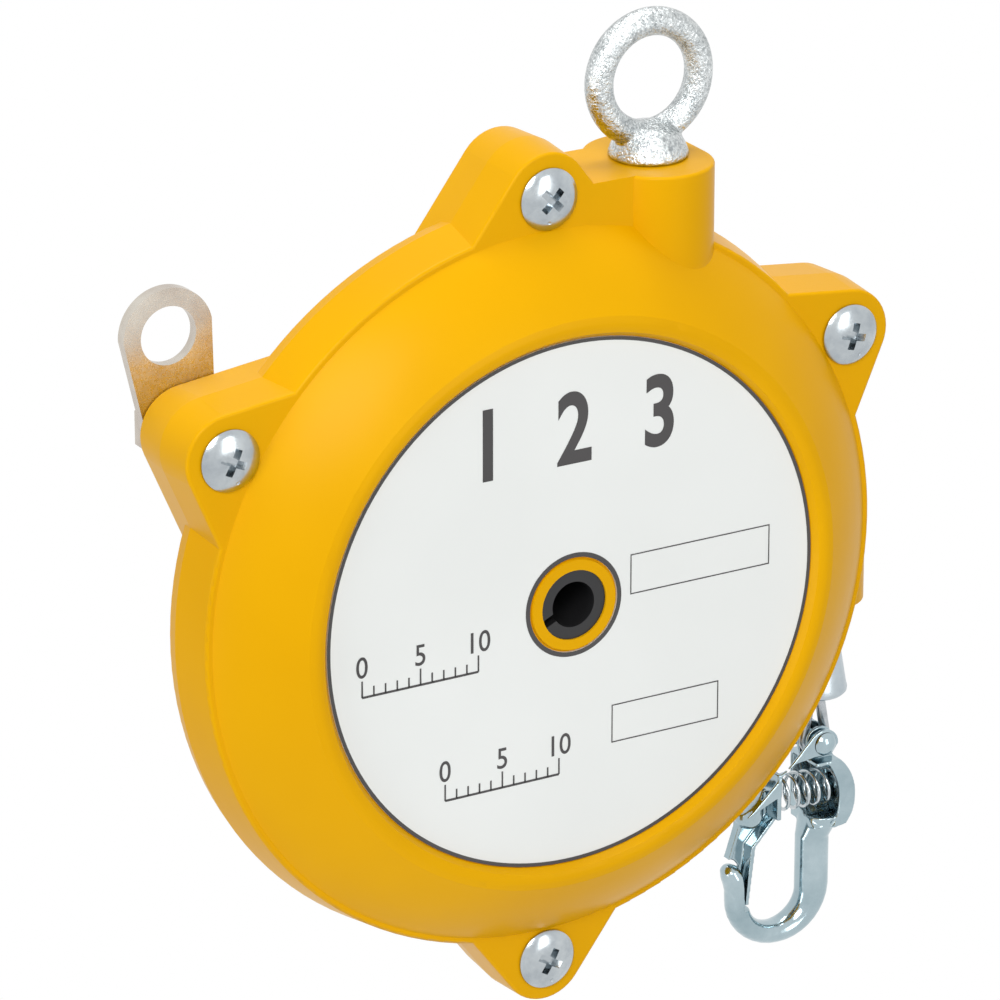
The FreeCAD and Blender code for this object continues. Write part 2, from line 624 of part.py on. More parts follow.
def mainspring():
    """Spiral ribbon made of half turns whose centres alternate by half the pitch."""
    inner_r = ARBOR_R + SPRING_GAP
    outer_r = DRUM_BARREL_R - SPRING_GAP - SPRING_T
    step = (outer_r - inner_r) / (2 * SPRING_TURNS)

    def spiral(extra):
        edges = []
        for half in range(2 * SPRING_TURNS):
            centre = 0 if half % 2 == 0 else step
            r = inner_r + half * step + extra
            side = 1 if half % 2 == 0 else -1
            ends = [V(centre + side * r, SPRING_FRONT, 0), V(centre - side * r, SPRING_FRONT, 0)]
            edges.append(Part.Arc(ends[0], V(centre, SPRING_FRONT, side * r), ends[1]).toShape())
        return edges

    inside = spiral(0)
    outside = spiral(SPRING_T)
    start = Part.makeLine(inside[0].valueAt(inside[0].FirstParameter),
                          outside[0].valueAt(outside[0].FirstParameter))
    end = Part.makeLine(inside[-1].valueAt(inside[-1].LastParameter),
                        outside[-1].valueAt(outside[-1].LastParameter))
    wire = Part.Wire(Part.__sortEdges__(inside + outside + [start, end]))
    return Part.Face(wire).extrude(V(0, SPRING_W, 0))


def cable_turns():
    """Outer shape of the cable wound on the drum."""
    steps = [(GROOVE_R, CABLE_R - 2 * CABLE_R * DRUM_TURNS), (GROOVE_R + 2 * CABLE_R, CABLE_R - 2 * CABLE_R * DRUM_TURNS)]
    return revolved(steps + [(GROOVE_R + 2 * CABLE_R, CABLE_R), (GROOVE_R, CABLE_R)])


def tension_arbor():
    """Hollow arbor, slotted at the front, that winds the mainspring."""
    front = -PLATE_FACE - HUB_RING_H + 0.4
    back = CROWN_BACK + LOCK_WASHER_T + LOCK_NUT_H + 0.8
    collar = FRONT_FLOOR + 1.2
    body = rod_y(0, 0, ARBOR_R, front, back)
    body = body.fuse(rod_y(0, 0, ARBOR_COLLAR_R, collar, collar + ARBOR_COLLAR_T))
    bore = rod_y(0, 0, ARBOR_BORE_R, front - 1, WEB_FRONT)
    socket = hexagon(ARBOR_SOCKET, 0, 0, WEB_FRONT - 1, WEB_FRONT + ARBOR_FLOOR)
    slot = Part.makeBox(ARBOR_R + 2, WEB_FRONT - front, ARBOR_SLOT_W, V(0, front - 1, -ARBOR_SLOT_W / 2))
    return body.cut([bore, socket, spun(slot, ARBOR_SLOT_ANGLE)])


def lock_washer():
    y0 = CROWN_BACK
    return rod_y(0, 0, LOCK_WASHER_R, y0, y0 + LOCK_WASHER_T).cut(rod_y(0, 0, ARBOR_R, y0 - 1, y0 + 9))


def lock_nut():
    y0 = CROWN_BACK + LOCK_WASHER_T
    return hexagon(LOCK_NUT_FLATS, 0, 0, y0, y0 + LOCK_NUT_H).cut(rod_y(0, 0, ARBOR_R, y0 - 1, y0 + 9))


# ---- cable and outlet ---------------------------------------------------------------
def guide_bush():
    """Low-friction bush with a flared mouth, clamped between the shells."""
    bore = CABLE_R + 0.3
    steps = [(bore, OUTLET_Z - GUIDE_FLANGE_T), (GUIDE_FLANGE_R, OUTLET_Z - GUIDE_FLANGE_T)]
    steps += [(GUIDE_FLANGE_R, OUTLET_Z), (GUIDE_R, OUTLET_Z), (GUIDE_R, GUIDE_TOP)]
    steps += [(GUIDE_MOUTH_R, GUIDE_TOP), (bore, GUIDE_TOP - GUIDE_MOUTH_H)]
    return revolved_z(steps, CABLE_X)


def cable_lead():
    """Cable from near the drum to the bush: a straight run and a bend to the vertical."""
    turn = math.acos(DRUM_PITCH_R / math.hypot(CABLE_X, GUIDE_TOP))
    slant = turn + math.atan2(GUIDE_TOP, CABLE_X)
    corner = V(CABLE_X, 0, GUIDE_TOP)
    along = V(-math.sin(slant), 0, math.cos(slant))
    reach = LEAD_BEND_R * math.tan(slant / 2)
    length = math.sqrt(CABLE_X ** 2 + GUIDE_TOP ** 2 - DRUM_PITCH_R ** 2)
    clear_r = DRUM_FLANGE_R + CABLE_R + 0.3
    skip = math.sqrt(clear_r ** 2 - DRUM_PITCH_R ** 2)
    top = corner + along * (length - skip)
    bend_in = corner + along * reach
    bend_out = corner - V(0, 0, reach)
    centre = bend_out - V(LEAD_BEND_R, 0, 0)
    middle = centre + V(math.cos(slant / 2), 0, math.sin(slant / 2)) * LEAD_BEND_R
    path = Part.Wire([Part.makeLine(top, bend_in), Part.Arc(bend_in, middle, bend_out).toShape()])
    ring = Part.Wire([Part.makeCircle(CABLE_R, top, along)])
    print("cable_lead radius", LEAD_BEND_R, "start of the hanging cable", round(bend_out.z, 3))
    return path.makePipeShell([ring], True, False), bend_out.z


def cable_run(top):
    stop = OUTLET_Z - GUIDE_FLANGE_T - STOPPER_GAP
    bottom = stop - STOPPER_H + SLEEVE_SINK
    return rod_z(CABLE_X, CABLE_R, bottom, top)


def stopper():
    """Conical stopper that meets the guide bush when the cable is wound in."""
    top = OUTLET_Z - GUIDE_FLANGE_T - STOPPER_GAP
    bottom = top - STOPPER_H
    sink_r = SLEEVE_R + CABLE_R + 0.1
    steps = [(CABLE_R + FIT_GAP, top), (STOPPER_TOP_R - 0.4, top), (STOPPER_TOP_R, top - 0.5)]
    steps += [(STOPPER_BOTTOM_R, bottom + 0.9)]
    steps.append(((STOPPER_BOTTOM_R - 0.15, bottom + 0.3), (STOPPER_BOTTOM_R - 0.6, bottom)))
    steps += [(sink_r, bottom), (sink_r, bottom + SLEEVE_SINK), (CABLE_R + FIT_GAP, bottom + SLEEVE_SINK)]
    return revolved_z(steps, CABLE_X)


def crimp_sleeve():
    """Oval crimp sleeve that holds the cable and its turned-back end side by side."""
    bottom = OUTLET_Z - GUIDE_FLANGE_T - STOPPER_GAP - STOPPER_H
    top = bottom + SLEEVE_SINK
    low = top - SLEEVE_H
    steps = [(CABLE_X - CABLE_R, -SLEEVE_R), (CABLE_X + CABLE_R, -SLEEVE_R)]
    steps.append(((CABLE_X + CABLE_R + SLEEVE_R, 0), (CABLE_X + CABLE_R, SLEEVE_R)))
    steps.append((CABLE_X - CABLE_R, SLEEVE_R))
    steps.append(((CABLE_X - CABLE_R - SLEEVE_R, 0), steps[0]))
    wire = outline(steps, lambda p: V(p[0], p[1], low))
    return Part.Face(wire).extrude(V(0, 0, top - low)), low


def cable_eye(sleeve_low):
    """Loop of the cable round the hook's rivet, closed at the crimp sleeve."""
    loop_r = RIVET_R + CABLE_R + 0.15
    half = CABLE_R + 0.05
    drop = sleeve_low - RIVET_Z
    reach = math.hypot(half, drop)
    slope = math.atan2(half, drop) + math.acos(loop_r / reach)
    touch_x = loop_r * math.sin(slope)
    touch_z = loop_r * math.cos(slope)
    edges = []
    start = V(CABLE_X + half, 0, sleeve_low)
    right = V(CABLE_X + touch_x, 0, RIVET_Z + touch_z)
    left = V(CABLE_X - touch_x, 0, RIVET_Z + touch_z)
    edges.append(Part.makeLine(start, right))
    edges.append(Part.Arc(right, V(CABLE_X, 0, RIVET_Z - loop_r), left).toShape())
    edges.append(Part.makeLine(left, V(CABLE_X - half, 0, sleeve_low)))
    ring = Part.Wire([Part.makeCircle(CABLE_R, start, right - start)])
    loop = Part.Wire(edges).makePipeShell([ring], True, False)
    return loop.cut(Part.makeBox(20, 20, 20, V(CABLE_X - 10, -10, sleeve_low)))


# ---- snap hook ----------------------------------------------------------------------
def hook_frame():
    """Pressed hook: channel round the latch spring, two ears, and a round hooked shank."""
    right = [(66.2, -51.2), (69.4, -52.6), ((72.8, -59.8), (69.6, -67.0)), (68.0, -70.5)]
    left = [(60.8, -70.5), (60.4, -64.5), (61.2, -58.0), (63.4, -51.2)]
    block = slab(right + left, -FRAME_HALF, FRAME_HALF)
    inner_right = [(64.4, -52.2), (68.7, -53.4), ((71.8, -59.8), (68.6, -66.4))]
    inner_left = [(66.5, -67.0), (50.0, -67.0), (50.0, -52.2)]
    block = block.cut(slab(inner_right + inner_left, -FRAME_IN, FRAME_IN))
    window = [(62.0, -63.0), (62.6, -55.2), ((66.0, -53.4), (69.4, -55.2)), ((70.9, -59.8), (69.0, -64.2))]
    block = block.cut(slab(window, -FRAME_HALF - 1, -FRAME_IN + 0.1))
    ears = []
    for y0, y1 in ((-EAR_OUT, -EAR_IN), (EAR_IN, EAR_OUT)):
        plate = slab([(CABLE_X - EAR_R, RIVET_Z), ((CABLE_X, RIVET_Z + EAR_R), (CABLE_X + EAR_R, RIVET_Z)),
                      (68.0, -52.2), (64.6, -52.2)], y0, y1)
        ears.append(plate.cut(rod_y(CABLE_X, RIVET_Z, RIVET_R, y0 - 1, y1 + 1)))
    bend_r = SHANK_X - HOOK_BEND_X
    turn = math.radians(HOOK_BEND_TURN)
    corner = V(SHANK_X, 0, HOOK_BEND_Z)
    low = V(HOOK_BEND_X + bend_r * math.cos(turn / 2), 0, HOOK_BEND_Z - bend_r * math.sin(turn / 2))
    end = V(HOOK_BEND_X + bend_r * math.cos(turn), 0, HOOK_BEND_Z - bend_r * math.sin(turn))
    tip = end + V(-math.sin(turn), 0, -math.cos(turn)) * HOOK_TIP
    bar = Part.Wire([Part.Arc(corner, low, end).toShape(), Part.makeLine(end, tip)])
    ring = Part.Wire([Part.makeCircle(SHANK_R, corner, V(0, 0, 1))])
    hooked = bar.makePipeShell([ring], True, False)
    wide = Part.Ellipse(V(SHANK_X, 0, SHANK_TOP), SHANK_WIDE, SHANK_R).toShape()
    top = Part.Wire([wide])
    shank = Part.makeLoft([top, Part.Wire([Part.makeCircle(SHANK_R, corner, V(0, 0, 1))])], True, True)
    shank = shank.cut(slab([(58, -61), (72, -61), (72, -66.5), (58, -66.5)], -FRAME_IN, FRAME_IN))
    bulb = Part.makeSphere(HOOK_BULB_R, tip)
    return block.multiFuse(ears + [shank, hooked, bulb])


def latch_lever():
    """Pressed latch: two cheeks and a web, pivoting outside the hook's ears."""
    left = [(45.9, -66.5), (46.3, -60.5), (47.6, -57.4), (51.6, -53.2), (55.0, -50.3), (61.6, -46.0)]
    nose = ((CABLE_X + 0.4, RIVET_Z + EAR_R), (CABLE_X + EAR_R, RIVET_Z - 0.4))
    right = [(CABLE_X + 1.8, RIVET_Z - 2.6), (61.5, -50.6), (57.6, -54.0), (56.8, -61.0)]
    tail = [((53.0, -67.6), (51.2, -74.5)), (51.1, -78.2), (50.2, -78.2), (49.4, -75.9), (49.4, -73.6)]
    block = slab(left + [nose] + right + tail, -LATCH_HALF, LATCH_HALF)
    in_left = [(44.0, -73.0), (44.0, -53.5), (50.0, -49.0), (60.0, -44.0), (70.0, -42.0), (70.0, -51.5)]
    in_right = [(62.0, -51.5), (61.0, -50.0), (56.8, -53.7), (56.0, -61.0), ((52.0, -67.4), (50.1, -73.0))]
    block = block.cut(slab(in_left + in_right, -LATCH_HALF + SHEET, LATCH_HALF - SHEET))
    block = block.cut(rod_y(CABLE_X, RIVET_Z, RIVET_R + RUNNING_GAP, -FRAME_HALF, FRAME_HALF))
    return block


def hook_rivet():
    """Round-headed rivet through the hook's ears and the latch's cheeks."""
    reach = LATCH_HALF + HOOK_GAP
    ball_r = (RIVET_HEAD_R ** 2 + RIVET_HEAD_H ** 2) / (2 * RIVET_HEAD_H)
    solid = rod_y(CABLE_X, RIVET_Z, RIVET_R, -reach - 0.5, reach + 0.5)
    for side in (-1, 1):
        ball = Part.makeSphere(ball_r, V(CABLE_X, side * (reach + RIVET_HEAD_H - ball_r), RIVET_Z))
        y0, y1 = sorted((side * reach, side * (reach + RIVET_HEAD_H)))
        solid = solid.fuse(ball.common(rod_y(CABLE_X, RIVET_Z, RIVET_HEAD_R, y0, y1)))
    return solid


def latch_spring():
    """Coil between the latch and the back of the hook's channel."""
    left = V(58.9, 0, -56.6)
    right = V(70.6, 0, -59.3)
    length = (right - left).Length
    coil = Part.makeHelix(length / LATCH_COILS, length - 1, LATCH_COIL_R)
    wire = Part.Wire([Part.makeCircle(LATCH_WIRE_R, V(LATCH_COIL_R, 0, 0), V(0, 1, 0))])
    solid = Part.Wire(coil).makePipeShell([wire], True, True)
    solid.Placement = FreeCAD.Placement(left, FreeCAD.Rotation(V(0, 0, 1), right - left))
    return solid


# ---- every node, one file each ------------------------------------------------------
def main():
    os.makedirs("parts", exist_ok=True)
    lead, hang_from = cable_lead()
    sleeve, sleeve_low = crimp_sleeve()
    nodes = {
        "front_shell": front_shell(),
        "back_shell": back_shell(),
        "rating_plate": rating_plate(),
        "case_screws": case_screws(),
        "plate_screw": plate_screw(),
        "case_nuts": case_nuts(),
        "plate_nut": plate_nut(),
        "safety_plate": safety_plate(),
        "eyebolt": eyebolt(),
        "eye_washer": eye_washer(),
        "eye_nut": eye_nut(),
        "cable_drum": cable_drum(),
        "drum_bush": drum_bush(),
        "spring_cover": spring_cover(),
        "mainspring": mainspring(),
        "cable_turns": cable_turns(),
        "tension_arbor": tension_arbor(),
        "lock_washer": lock_washer(),
        "lock_nut": lock_nut(),
        "guide_bush": guide_bush(),
        "cable_lead": lead,
        "cable_run": cable_run(hang_from),
        "stopper": stopper(),
        "crimp_sleeve": sleeve,
        "cable_eye": cable_eye(sleeve_low),
        "hook_frame": hook_frame(),
        "hook_rivet": hook_rivet(),
        "latch_lever": latch_lever(),
        "latch_spring": latch_spring(),
    }
    for node, shape in nodes.items():
        print(node, len(shape.Solids), shape.isValid(), round(shape.Volume, 1))
        write(node, shape)


main()
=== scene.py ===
import json
import math

import bpy
from mathutils import Matrix, Vector


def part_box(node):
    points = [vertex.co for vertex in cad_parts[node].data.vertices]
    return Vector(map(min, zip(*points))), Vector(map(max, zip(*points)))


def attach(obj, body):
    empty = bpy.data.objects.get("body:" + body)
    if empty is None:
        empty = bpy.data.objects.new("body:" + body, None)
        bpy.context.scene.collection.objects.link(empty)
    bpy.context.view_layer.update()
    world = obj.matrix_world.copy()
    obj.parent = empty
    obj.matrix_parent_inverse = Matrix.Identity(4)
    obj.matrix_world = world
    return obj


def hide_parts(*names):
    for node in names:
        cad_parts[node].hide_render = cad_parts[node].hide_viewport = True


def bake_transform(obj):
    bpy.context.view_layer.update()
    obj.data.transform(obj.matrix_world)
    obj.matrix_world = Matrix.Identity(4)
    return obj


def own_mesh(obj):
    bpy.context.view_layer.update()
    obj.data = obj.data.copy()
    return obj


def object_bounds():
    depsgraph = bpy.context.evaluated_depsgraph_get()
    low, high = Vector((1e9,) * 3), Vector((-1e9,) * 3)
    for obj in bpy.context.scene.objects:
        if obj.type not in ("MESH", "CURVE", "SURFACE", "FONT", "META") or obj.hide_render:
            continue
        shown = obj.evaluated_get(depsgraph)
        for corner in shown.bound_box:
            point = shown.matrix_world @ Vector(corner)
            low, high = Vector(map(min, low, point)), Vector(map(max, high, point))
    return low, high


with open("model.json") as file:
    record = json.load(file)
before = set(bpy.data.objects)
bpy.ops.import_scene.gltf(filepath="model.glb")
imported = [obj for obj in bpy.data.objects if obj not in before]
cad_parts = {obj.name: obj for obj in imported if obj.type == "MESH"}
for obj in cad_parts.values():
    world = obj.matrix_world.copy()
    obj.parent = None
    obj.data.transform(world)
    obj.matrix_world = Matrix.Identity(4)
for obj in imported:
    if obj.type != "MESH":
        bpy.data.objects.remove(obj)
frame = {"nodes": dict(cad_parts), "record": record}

CAD_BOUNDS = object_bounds()
NODES = frame["nodes"]
MM = 0.001

# ---- places read from the frame, in metres --------------------------------------------
PLATE_LOW, PLATE_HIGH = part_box("rating_plate")
PLATE_X = (PLATE_LOW.x + PLATE_HIGH.x) / 2
PLATE_Z = (PLATE_LOW.z + PLATE_HIGH.z) / 2
PLATE_R = (PLATE_HIGH.x - PLATE_LOW.x) / 2
PLATE_PLACE = (PLATE_X, PLATE_LOW.y, PLATE_Z)
RIVET_LOW, RIVET_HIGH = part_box("hook_rivet")
RIVET_X = (RIVET_LOW.x + RIVET_HIGH.x) / 2
RIVET_Z = (RIVET_LOW.z + RIVET_HIGH.z) / 2
RIVET_PLACE = (RIVET_X, 0, RIVET_Z)
LOWEST = CAD_BOUNDS[0][2]
EYE_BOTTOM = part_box("eyebolt")[0].z
CASE_SCREW_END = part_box("case_screws")[1].y
PLATE_SCREW_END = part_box("plate_nut")[1].y

# ---- print on the rating plate, in millimetres from its middle ------------------------
INK_BACK = -0.03           # printed lines lie between these two depths
INK_FACE = -0.04
BORDER_T = 0.7
HUB_LINE = (10.1, 9.2)     # outer and inner radius
LARGE_TYPE = (19.0, 0.8, 0.4)      # size, width against the font's own, boldness
SMALL_TYPE = (5.8, 0.9, 0.03)
NUMBER_STEP = 18.0
NUMBER_UP = 33.6
BOX_LINE = 0.24
UPPER_BOX = (12.0, -0.5, 42.0, 7.4)        # left, low, right, high
LOWER_BOX = (8.2, -29.2, 31.3, -21.6)
UPPER_SCALE = (-44.0, -20.0, -9.0)         # left, right, height
LOWER_SCALE = (-27.0, -3.0, -33.0)
SCALE_LINE = 0.45
TICK_HALF = 0.17
TICK_LONG = 3.2
TICK_SHORT = 1.9
SCALE_NUMBER_UP = 5.6      # above the scale's line

# ---- eyebolt, in millimetres ----------------------------------------------------------
EYE_RING_R = 10.55
EYE_WIRE_R = 2.65
EYE_SHANK_R = 3.0
EYE_SEAT = -14.8           # underside of the collar, from the ring's middle
EYE_NECK = ((7.0, 0.0), (7.45, 0.35), (7.4, 0.9), (6.9, 2.2), (6.35, 3.3),
            (5.75, 4.2), (5.0, 5.1), (3.9, 5.9), (2.2, 6.4))    # radius, height on the seat

# ---- screws, in millimetres -----------------------------------------------------------
BOLT_CIRCLE_R = 75.0
SCREW_ANGLES = (90.0, 30.0, 270.0)
PLATE_SCREW_ANGLE = 150.0
RECESS_TURNS = (45.0, 15.0, 30.0)
PLATE_RECESS_TURN = 25.0
SCREW_SHANK_R = 2.48
SCREW_FACE = -9.1          # front of the bosses
SCREW_HEAD_H = 1.95
SCREW_DOME = ((5.65, 0.0), (5.85, 0.25), (5.8, 0.55), (5.35, 0.95), (4.5, 1.35),
              (3.3, 1.68), (1.9, 1.88), (0.6, SCREW_HEAD_H))    # radius, height on the boss
RECESS_SPAN = 7.6
RECESS_WIDE = 1.75
RECESS_DEEP = 1.8
RECESS_FLOOR = (0.45, 0.7)     # length and width of an arm's floor against its mouth
SCREW_DOT = (2.6, -1.75, -3.4)
SCREW_DOT_R = 0.5

# ---- stopper, in millimetres: radius, height below its top ----------------------------
STOPPER_TURNED = ((1.1, 0.0), (2.9, 0.0), (3.2, 0.4), (5.9, 16.6), (6.1, 17.4), (6.05, 18.0),
                  (5.6, 18.5), (4.9, 18.7), (3.3, 18.7), (3.1, 14.7), (1.1, 14.7))

# ---- snap hook, in millimetres from the rivet -----------------------------------------
HOOK_HALF = 4.8            # half width of the hook's body
HOOK_WALL = 0.8
HOOK_ROOF = -3.7
HOOK_BACK_X = -2.4         # left end of the back plate and the roof
EAR_IN = 1.3
CHEEK_OUT = RIVET_HIGH.y / MM - 1.35
CHEEK_T = 0.8
LEG_X = -0.1
LEG_TOP = 21.0
LEG_WIDE = 3.4
LEG_DEEP = 3.0
BOW_R = 8.5
BOW_DROP = 32.3
BOW_THIN = 2.3
NOSE_LEAN = 15.0
NOSE_RISE = 8.6
NOSE_THICK = 2.1
NOSE_TAPER = ((0.3, 0.97), (0.5, 1.0), (0.7, 1.0), (0.88, 0.8), (0.97, 0.45), (1.0, 0.15))
HOOK_STRETCH = (LOWEST - RIVET_Z) / MM / -(BOW_DROP + BOW_R + BOW_THIN)
BEAD_X = -14.9             # the latch's rounded bead
BEAD_Y = -0.4
BEAD_R = 2.8
BEAD_LOW = -13.6
BEAD_HIGH = -6.5
SPRING_LEFT = Vector((-8.9, 0, -10.3))
SPRING_RIGHT = Vector((4.9, 0, -11.4))
SPRING_TURNS = 6
SPRING_COIL_R = 3.5
SPRING_WIRE_R = 0.36

# ---- shaping ----------------------------------------------------------------------------
ARC_STEP = 0.5             # length of an arc's straight pieces, in millimetres
UPRIGHT = Matrix.Rotation(math.radians(90), 4, "X")

# ---- camera and studio, in metres -----------------------------------------------------
AIM = Vector((-0.0346, -0.0060, -0.0733))
AIM_DISTANCE = 1.1404
VIEW_AZIMUTH = math.radians(30.115)
VIEW_ELEVATION = math.radians(21.447)
LENS = 225.9               # focal length in millimetres, on a sensor 36 wide
FLOOR_SIZE = 12.0
FLOOR_DROP = 0.75          # the hook comes down half a metre
SOFT_LIGHT = 0.46
LAMP_TARGET = Vector((-0.03, 0, -0.09))


# ---- small helpers ------------------------------------------------------------------
def new_group(name, inputs):
    """Node group with named value inputs that gives a tone, a gloss and a height."""
    tree = bpy.data.node_groups.new(name, "ShaderNodeTree")
    for label, value in inputs:
        made = tree.interface.new_socket(label, in_out="INPUT", socket_type="NodeSocketFloat")
        made.default_value = value
    for label in ("Tone", "Gloss", "Height"):
        tree.interface.new_socket(label, in_out="OUTPUT", socket_type="NodeSocketFloat")
    return tree, tree.nodes.new("NodeGroupInput"), tree.nodes.new("NodeGroupOutput")


def noise(tree, coords, scale, detail=3.0, roughness=0.5):
    node = tree.nodes.new("ShaderNodeTexNoise")
    node.inputs["Scale"].default_value = scale
    node.inputs["Detail"].default_value = detail
    node.inputs["Roughness"].default_value = roughness
    tree.links.new(coords, node.inputs["Vector"])
    return node.outputs["Fac"]


def mapped(tree, value, low, high, to_low, to_high):
    node = tree.nodes.new("ShaderNodeMapRange")
    node.inputs["From Min"].default_value = low
    node.inputs["From Max"].default_value = high
    node.inputs["To Min"].default_value = to_low
    node.inputs["To Max"].default_value = to_high
    tree.links.new(value, node.inputs["Value"])
    return node.outputs["Result"]


def math_node(tree, operation, a, b):
    node = tree.nodes.new("ShaderNodeMath")
    node.operation = operation
    for socket, value in zip(node.inputs, (a, b)):
        if isinstance(value, (int, float)):
            socket.default_value = value
        else:
            tree.links.new(value, socket)
    return node.outputs["Value"]


def weighted(tree, first, first_share, second, second_share):
    """Sum of two values, each times its share."""
    scaled_first = math_node(tree, "MULTIPLY", first, first_share)
    scaled_second = math_node(tree, "MULTIPLY", second, second_share)
    return math_node(tree, "ADD", scaled_first, scaled_second)


def colour_mix(tree, factor, dark, light):
    node = tree.nodes.new("ShaderNodeMix")
    node.data_type = "RGBA"
    tree.links.new(factor, node.inputs[0])
    node.inputs[6].default_value = (*dark, 1)
    node.inputs[7].default_value = (*light, 1)
    return node.outputs[2]


# ---- modelling helpers: pieces are shaped in millimetres, then settled in metres ------
def deselect():
    bpy.ops.object.select_all(action="DESELECT")


def choose(piece, wanted):
    """Selects the vertices of a piece for which wanted(index, place) holds."""
    bpy.ops.object.mode_set(mode="EDIT")
    bpy.ops.mesh.select_mode(type="VERT")
    bpy.ops.mesh.select_all(action="DESELECT")
    bpy.ops.object.mode_set(mode="OBJECT")
    for vertex in piece.data.vertices:
        vertex.select = wanted(vertex.index, vertex.co)
    bpy.ops.object.mode_set(mode="EDIT")


def close_up(piece):
    bpy.ops.object.mode_set(mode="EDIT")
    bpy.ops.mesh.select_all(action="SELECT")
    bpy.ops.mesh.normals_make_consistent(inside=False)
    bpy.ops.object.mode_set(mode="OBJECT")
    return piece


def loft(name, rings, corners=40):
    """Closed skin through oval rings; a ring is (centre, turn in degrees, half sizes)."""
    deselect()
    bpy.ops.mesh.primitive_circle_add(vertices=corners, radius=1.0)
    piece = bpy.context.object
    piece.name = name
    bpy.ops.object.mode_set(mode="EDIT")
    for _ in rings[1:]:
        bpy.ops.mesh.primitive_circle_add(vertices=corners, radius=1.0)
    bpy.ops.object.mode_set(mode="OBJECT")
    for number, (centre, turn, halves) in enumerate(rings):
        turned = Matrix.Rotation(math.radians(turn[0]), 4, turn[1])
        put = Matrix.Translation(centre) @ turned @ Matrix.Diagonal((*halves, 1.0, 1.0))
        for vertex in piece.data.vertices[number * corners:(number + 1) * corners]:
            vertex.co = put @ vertex.co
    for number in range(len(rings) - 1):
        choose(piece, lambda index, _: number * corners <= index < (number + 2) * corners)
        bpy.ops.mesh.bridge_edge_loops()
    for first in (0, (len(rings) - 1) * corners):
        choose(piece, lambda index, _: first <= index < first + corners)
        bpy.ops.mesh.edge_face_add()
    bpy.ops.object.mode_set(mode="OBJECT")
    return close_up(piece)


def round_rings(profile, along="Z"):
    """Rings of a turned form; the profile is (radius, place along its axis) pairs."""
    if along == "Y":
        return [((0, place, 0), (90, "X"), (radius, radius)) for radius, place in profile]
    return [((0, 0, place), (0, "Z"), (radius, radius)) for radius, place in profile]


def curve_steps(steps):
    """Outline points; a step that is a pair of points is an arc through the first to the second."""
    points = []
    for step in steps:
        if not isinstance(step[0], tuple):
            points.append(Vector(step))
            continue
        start, middle, end = points[-1], Vector(step[0]), Vector(step[1])
        turned = Matrix(((2 * (middle - start).x, 2 * (middle - start).y),
                         (2 * (end - start).x, 2 * (end - start).y)))
        sides = Vector((middle.length_squared - start.length_squared,
                        end.length_squared - start.length_squared))
        centre = turned.inverted() @ sides
        angles = [math.atan2((p - centre).y, (p - centre).x) for p in (start, middle, end)]
        sweep = (angles[2] - angles[0]) % (2 * math.pi)
        if (angles[1] - angles[0]) % (2 * math.pi) > sweep:
            sweep -= 2 * math.pi
        radius = (start - centre).length
        count = max(4, int(abs(sweep) * radius / ARC_STEP))
        for number in range(1, count + 1):
            angle = angles[0] + sweep * number / count
            points.append(centre + Vector((math.cos(angle), math.sin(angle))) * radius)
    return points


def slab(name, steps, near, far, across="Y"):
    """Outline in the hook's side view, or across it, given a thickness from near to far."""
    points = curve_steps(steps)
    deselect()
    bpy.ops.mesh.primitive_circle_add(vertices=len(points), radius=1.0, fill_type="NGON")
    piece = bpy.context.object
    piece.name = name
    for vertex, point in zip(piece.data.vertices, points):
        vertex.co = (point.x, near, point.y) if across == "Y" else (near, point.x, point.y)
    bpy.ops.object.mode_set(mode="EDIT")
    bpy.ops.mesh.select_all(action="SELECT")
    way = (0, far - near, 0) if across == "Y" else (far - near, 0, 0)
    bpy.ops.mesh.extrude_region_move(TRANSFORM_OT_translate={"value": way})
    bpy.ops.object.mode_set(mode="OBJECT")
    return close_up(piece)


def block(name, low, high):
    deselect()
    middle = [(a + b) / 2 for a, b in zip(low, high)]
    bpy.ops.mesh.primitive_cube_add(size=1.0, location=(0, 0, 0))
    piece = bpy.context.object
    piece.name = name
    size = [b - a for a, b in zip(low, high)]
    piece.data.transform(Matrix.Translation(middle) @ Matrix.Diagonal((*size, 1.0)))
    return piece


def ball(name, centre, radius):
    deselect()
    bpy.ops.mesh.primitive_uv_sphere_add(segments=40, ring_count=24, radius=radius)
    piece = bpy.context.object
    piece.name = name
    piece.data.transform(Matrix.Translation(centre))
    return piece


def finish(piece, kind, **values):
    """Adds a modifier and applies it."""
    deselect()
    piece.select_set(True)
    bpy.context.view_layer.objects.active = piece
    modifier = piece.modifiers.new("step", kind)
    for label, value in values.items():
        setattr(modifier, label, value)
    bpy.ops.object.modifier_apply(modifier="step")
    return piece


def carve(piece, *cutters):
    for cutter in cutters:
        finish(piece, "BOOLEAN", operation="DIFFERENCE", solver="EXACT", object=cutter)
        bpy.data.objects.remove(cutter)
    return piece


def forged(name, pieces, voxel, rounds):
    """Pieces melted into one skin with soft edges."""
    deselect()
    for piece in pieces:
        piece.select_set(True)
    bpy.context.view_layer.objects.active = pieces[0]
    bpy.ops.object.join()
    piece = bpy.context.object
    piece.name = name
    finish(piece, "REMESH", mode="VOXEL", voxel_size=voxel, use_smooth_shade=True)
    return finish(piece, "SMOOTH", factor=0.5, iterations=rounds)


def dress(piece, place, material, stretch=1.0):
    """Moves a piece from millimetres at the origin to its place in metres, in one material."""
    small = Matrix.Diagonal((MM, MM, MM * stretch, 1.0))
    piece.data.transform(Matrix.Translation(place) @ small)
    piece.data.materials.clear()
    piece.data.materials.append(material)


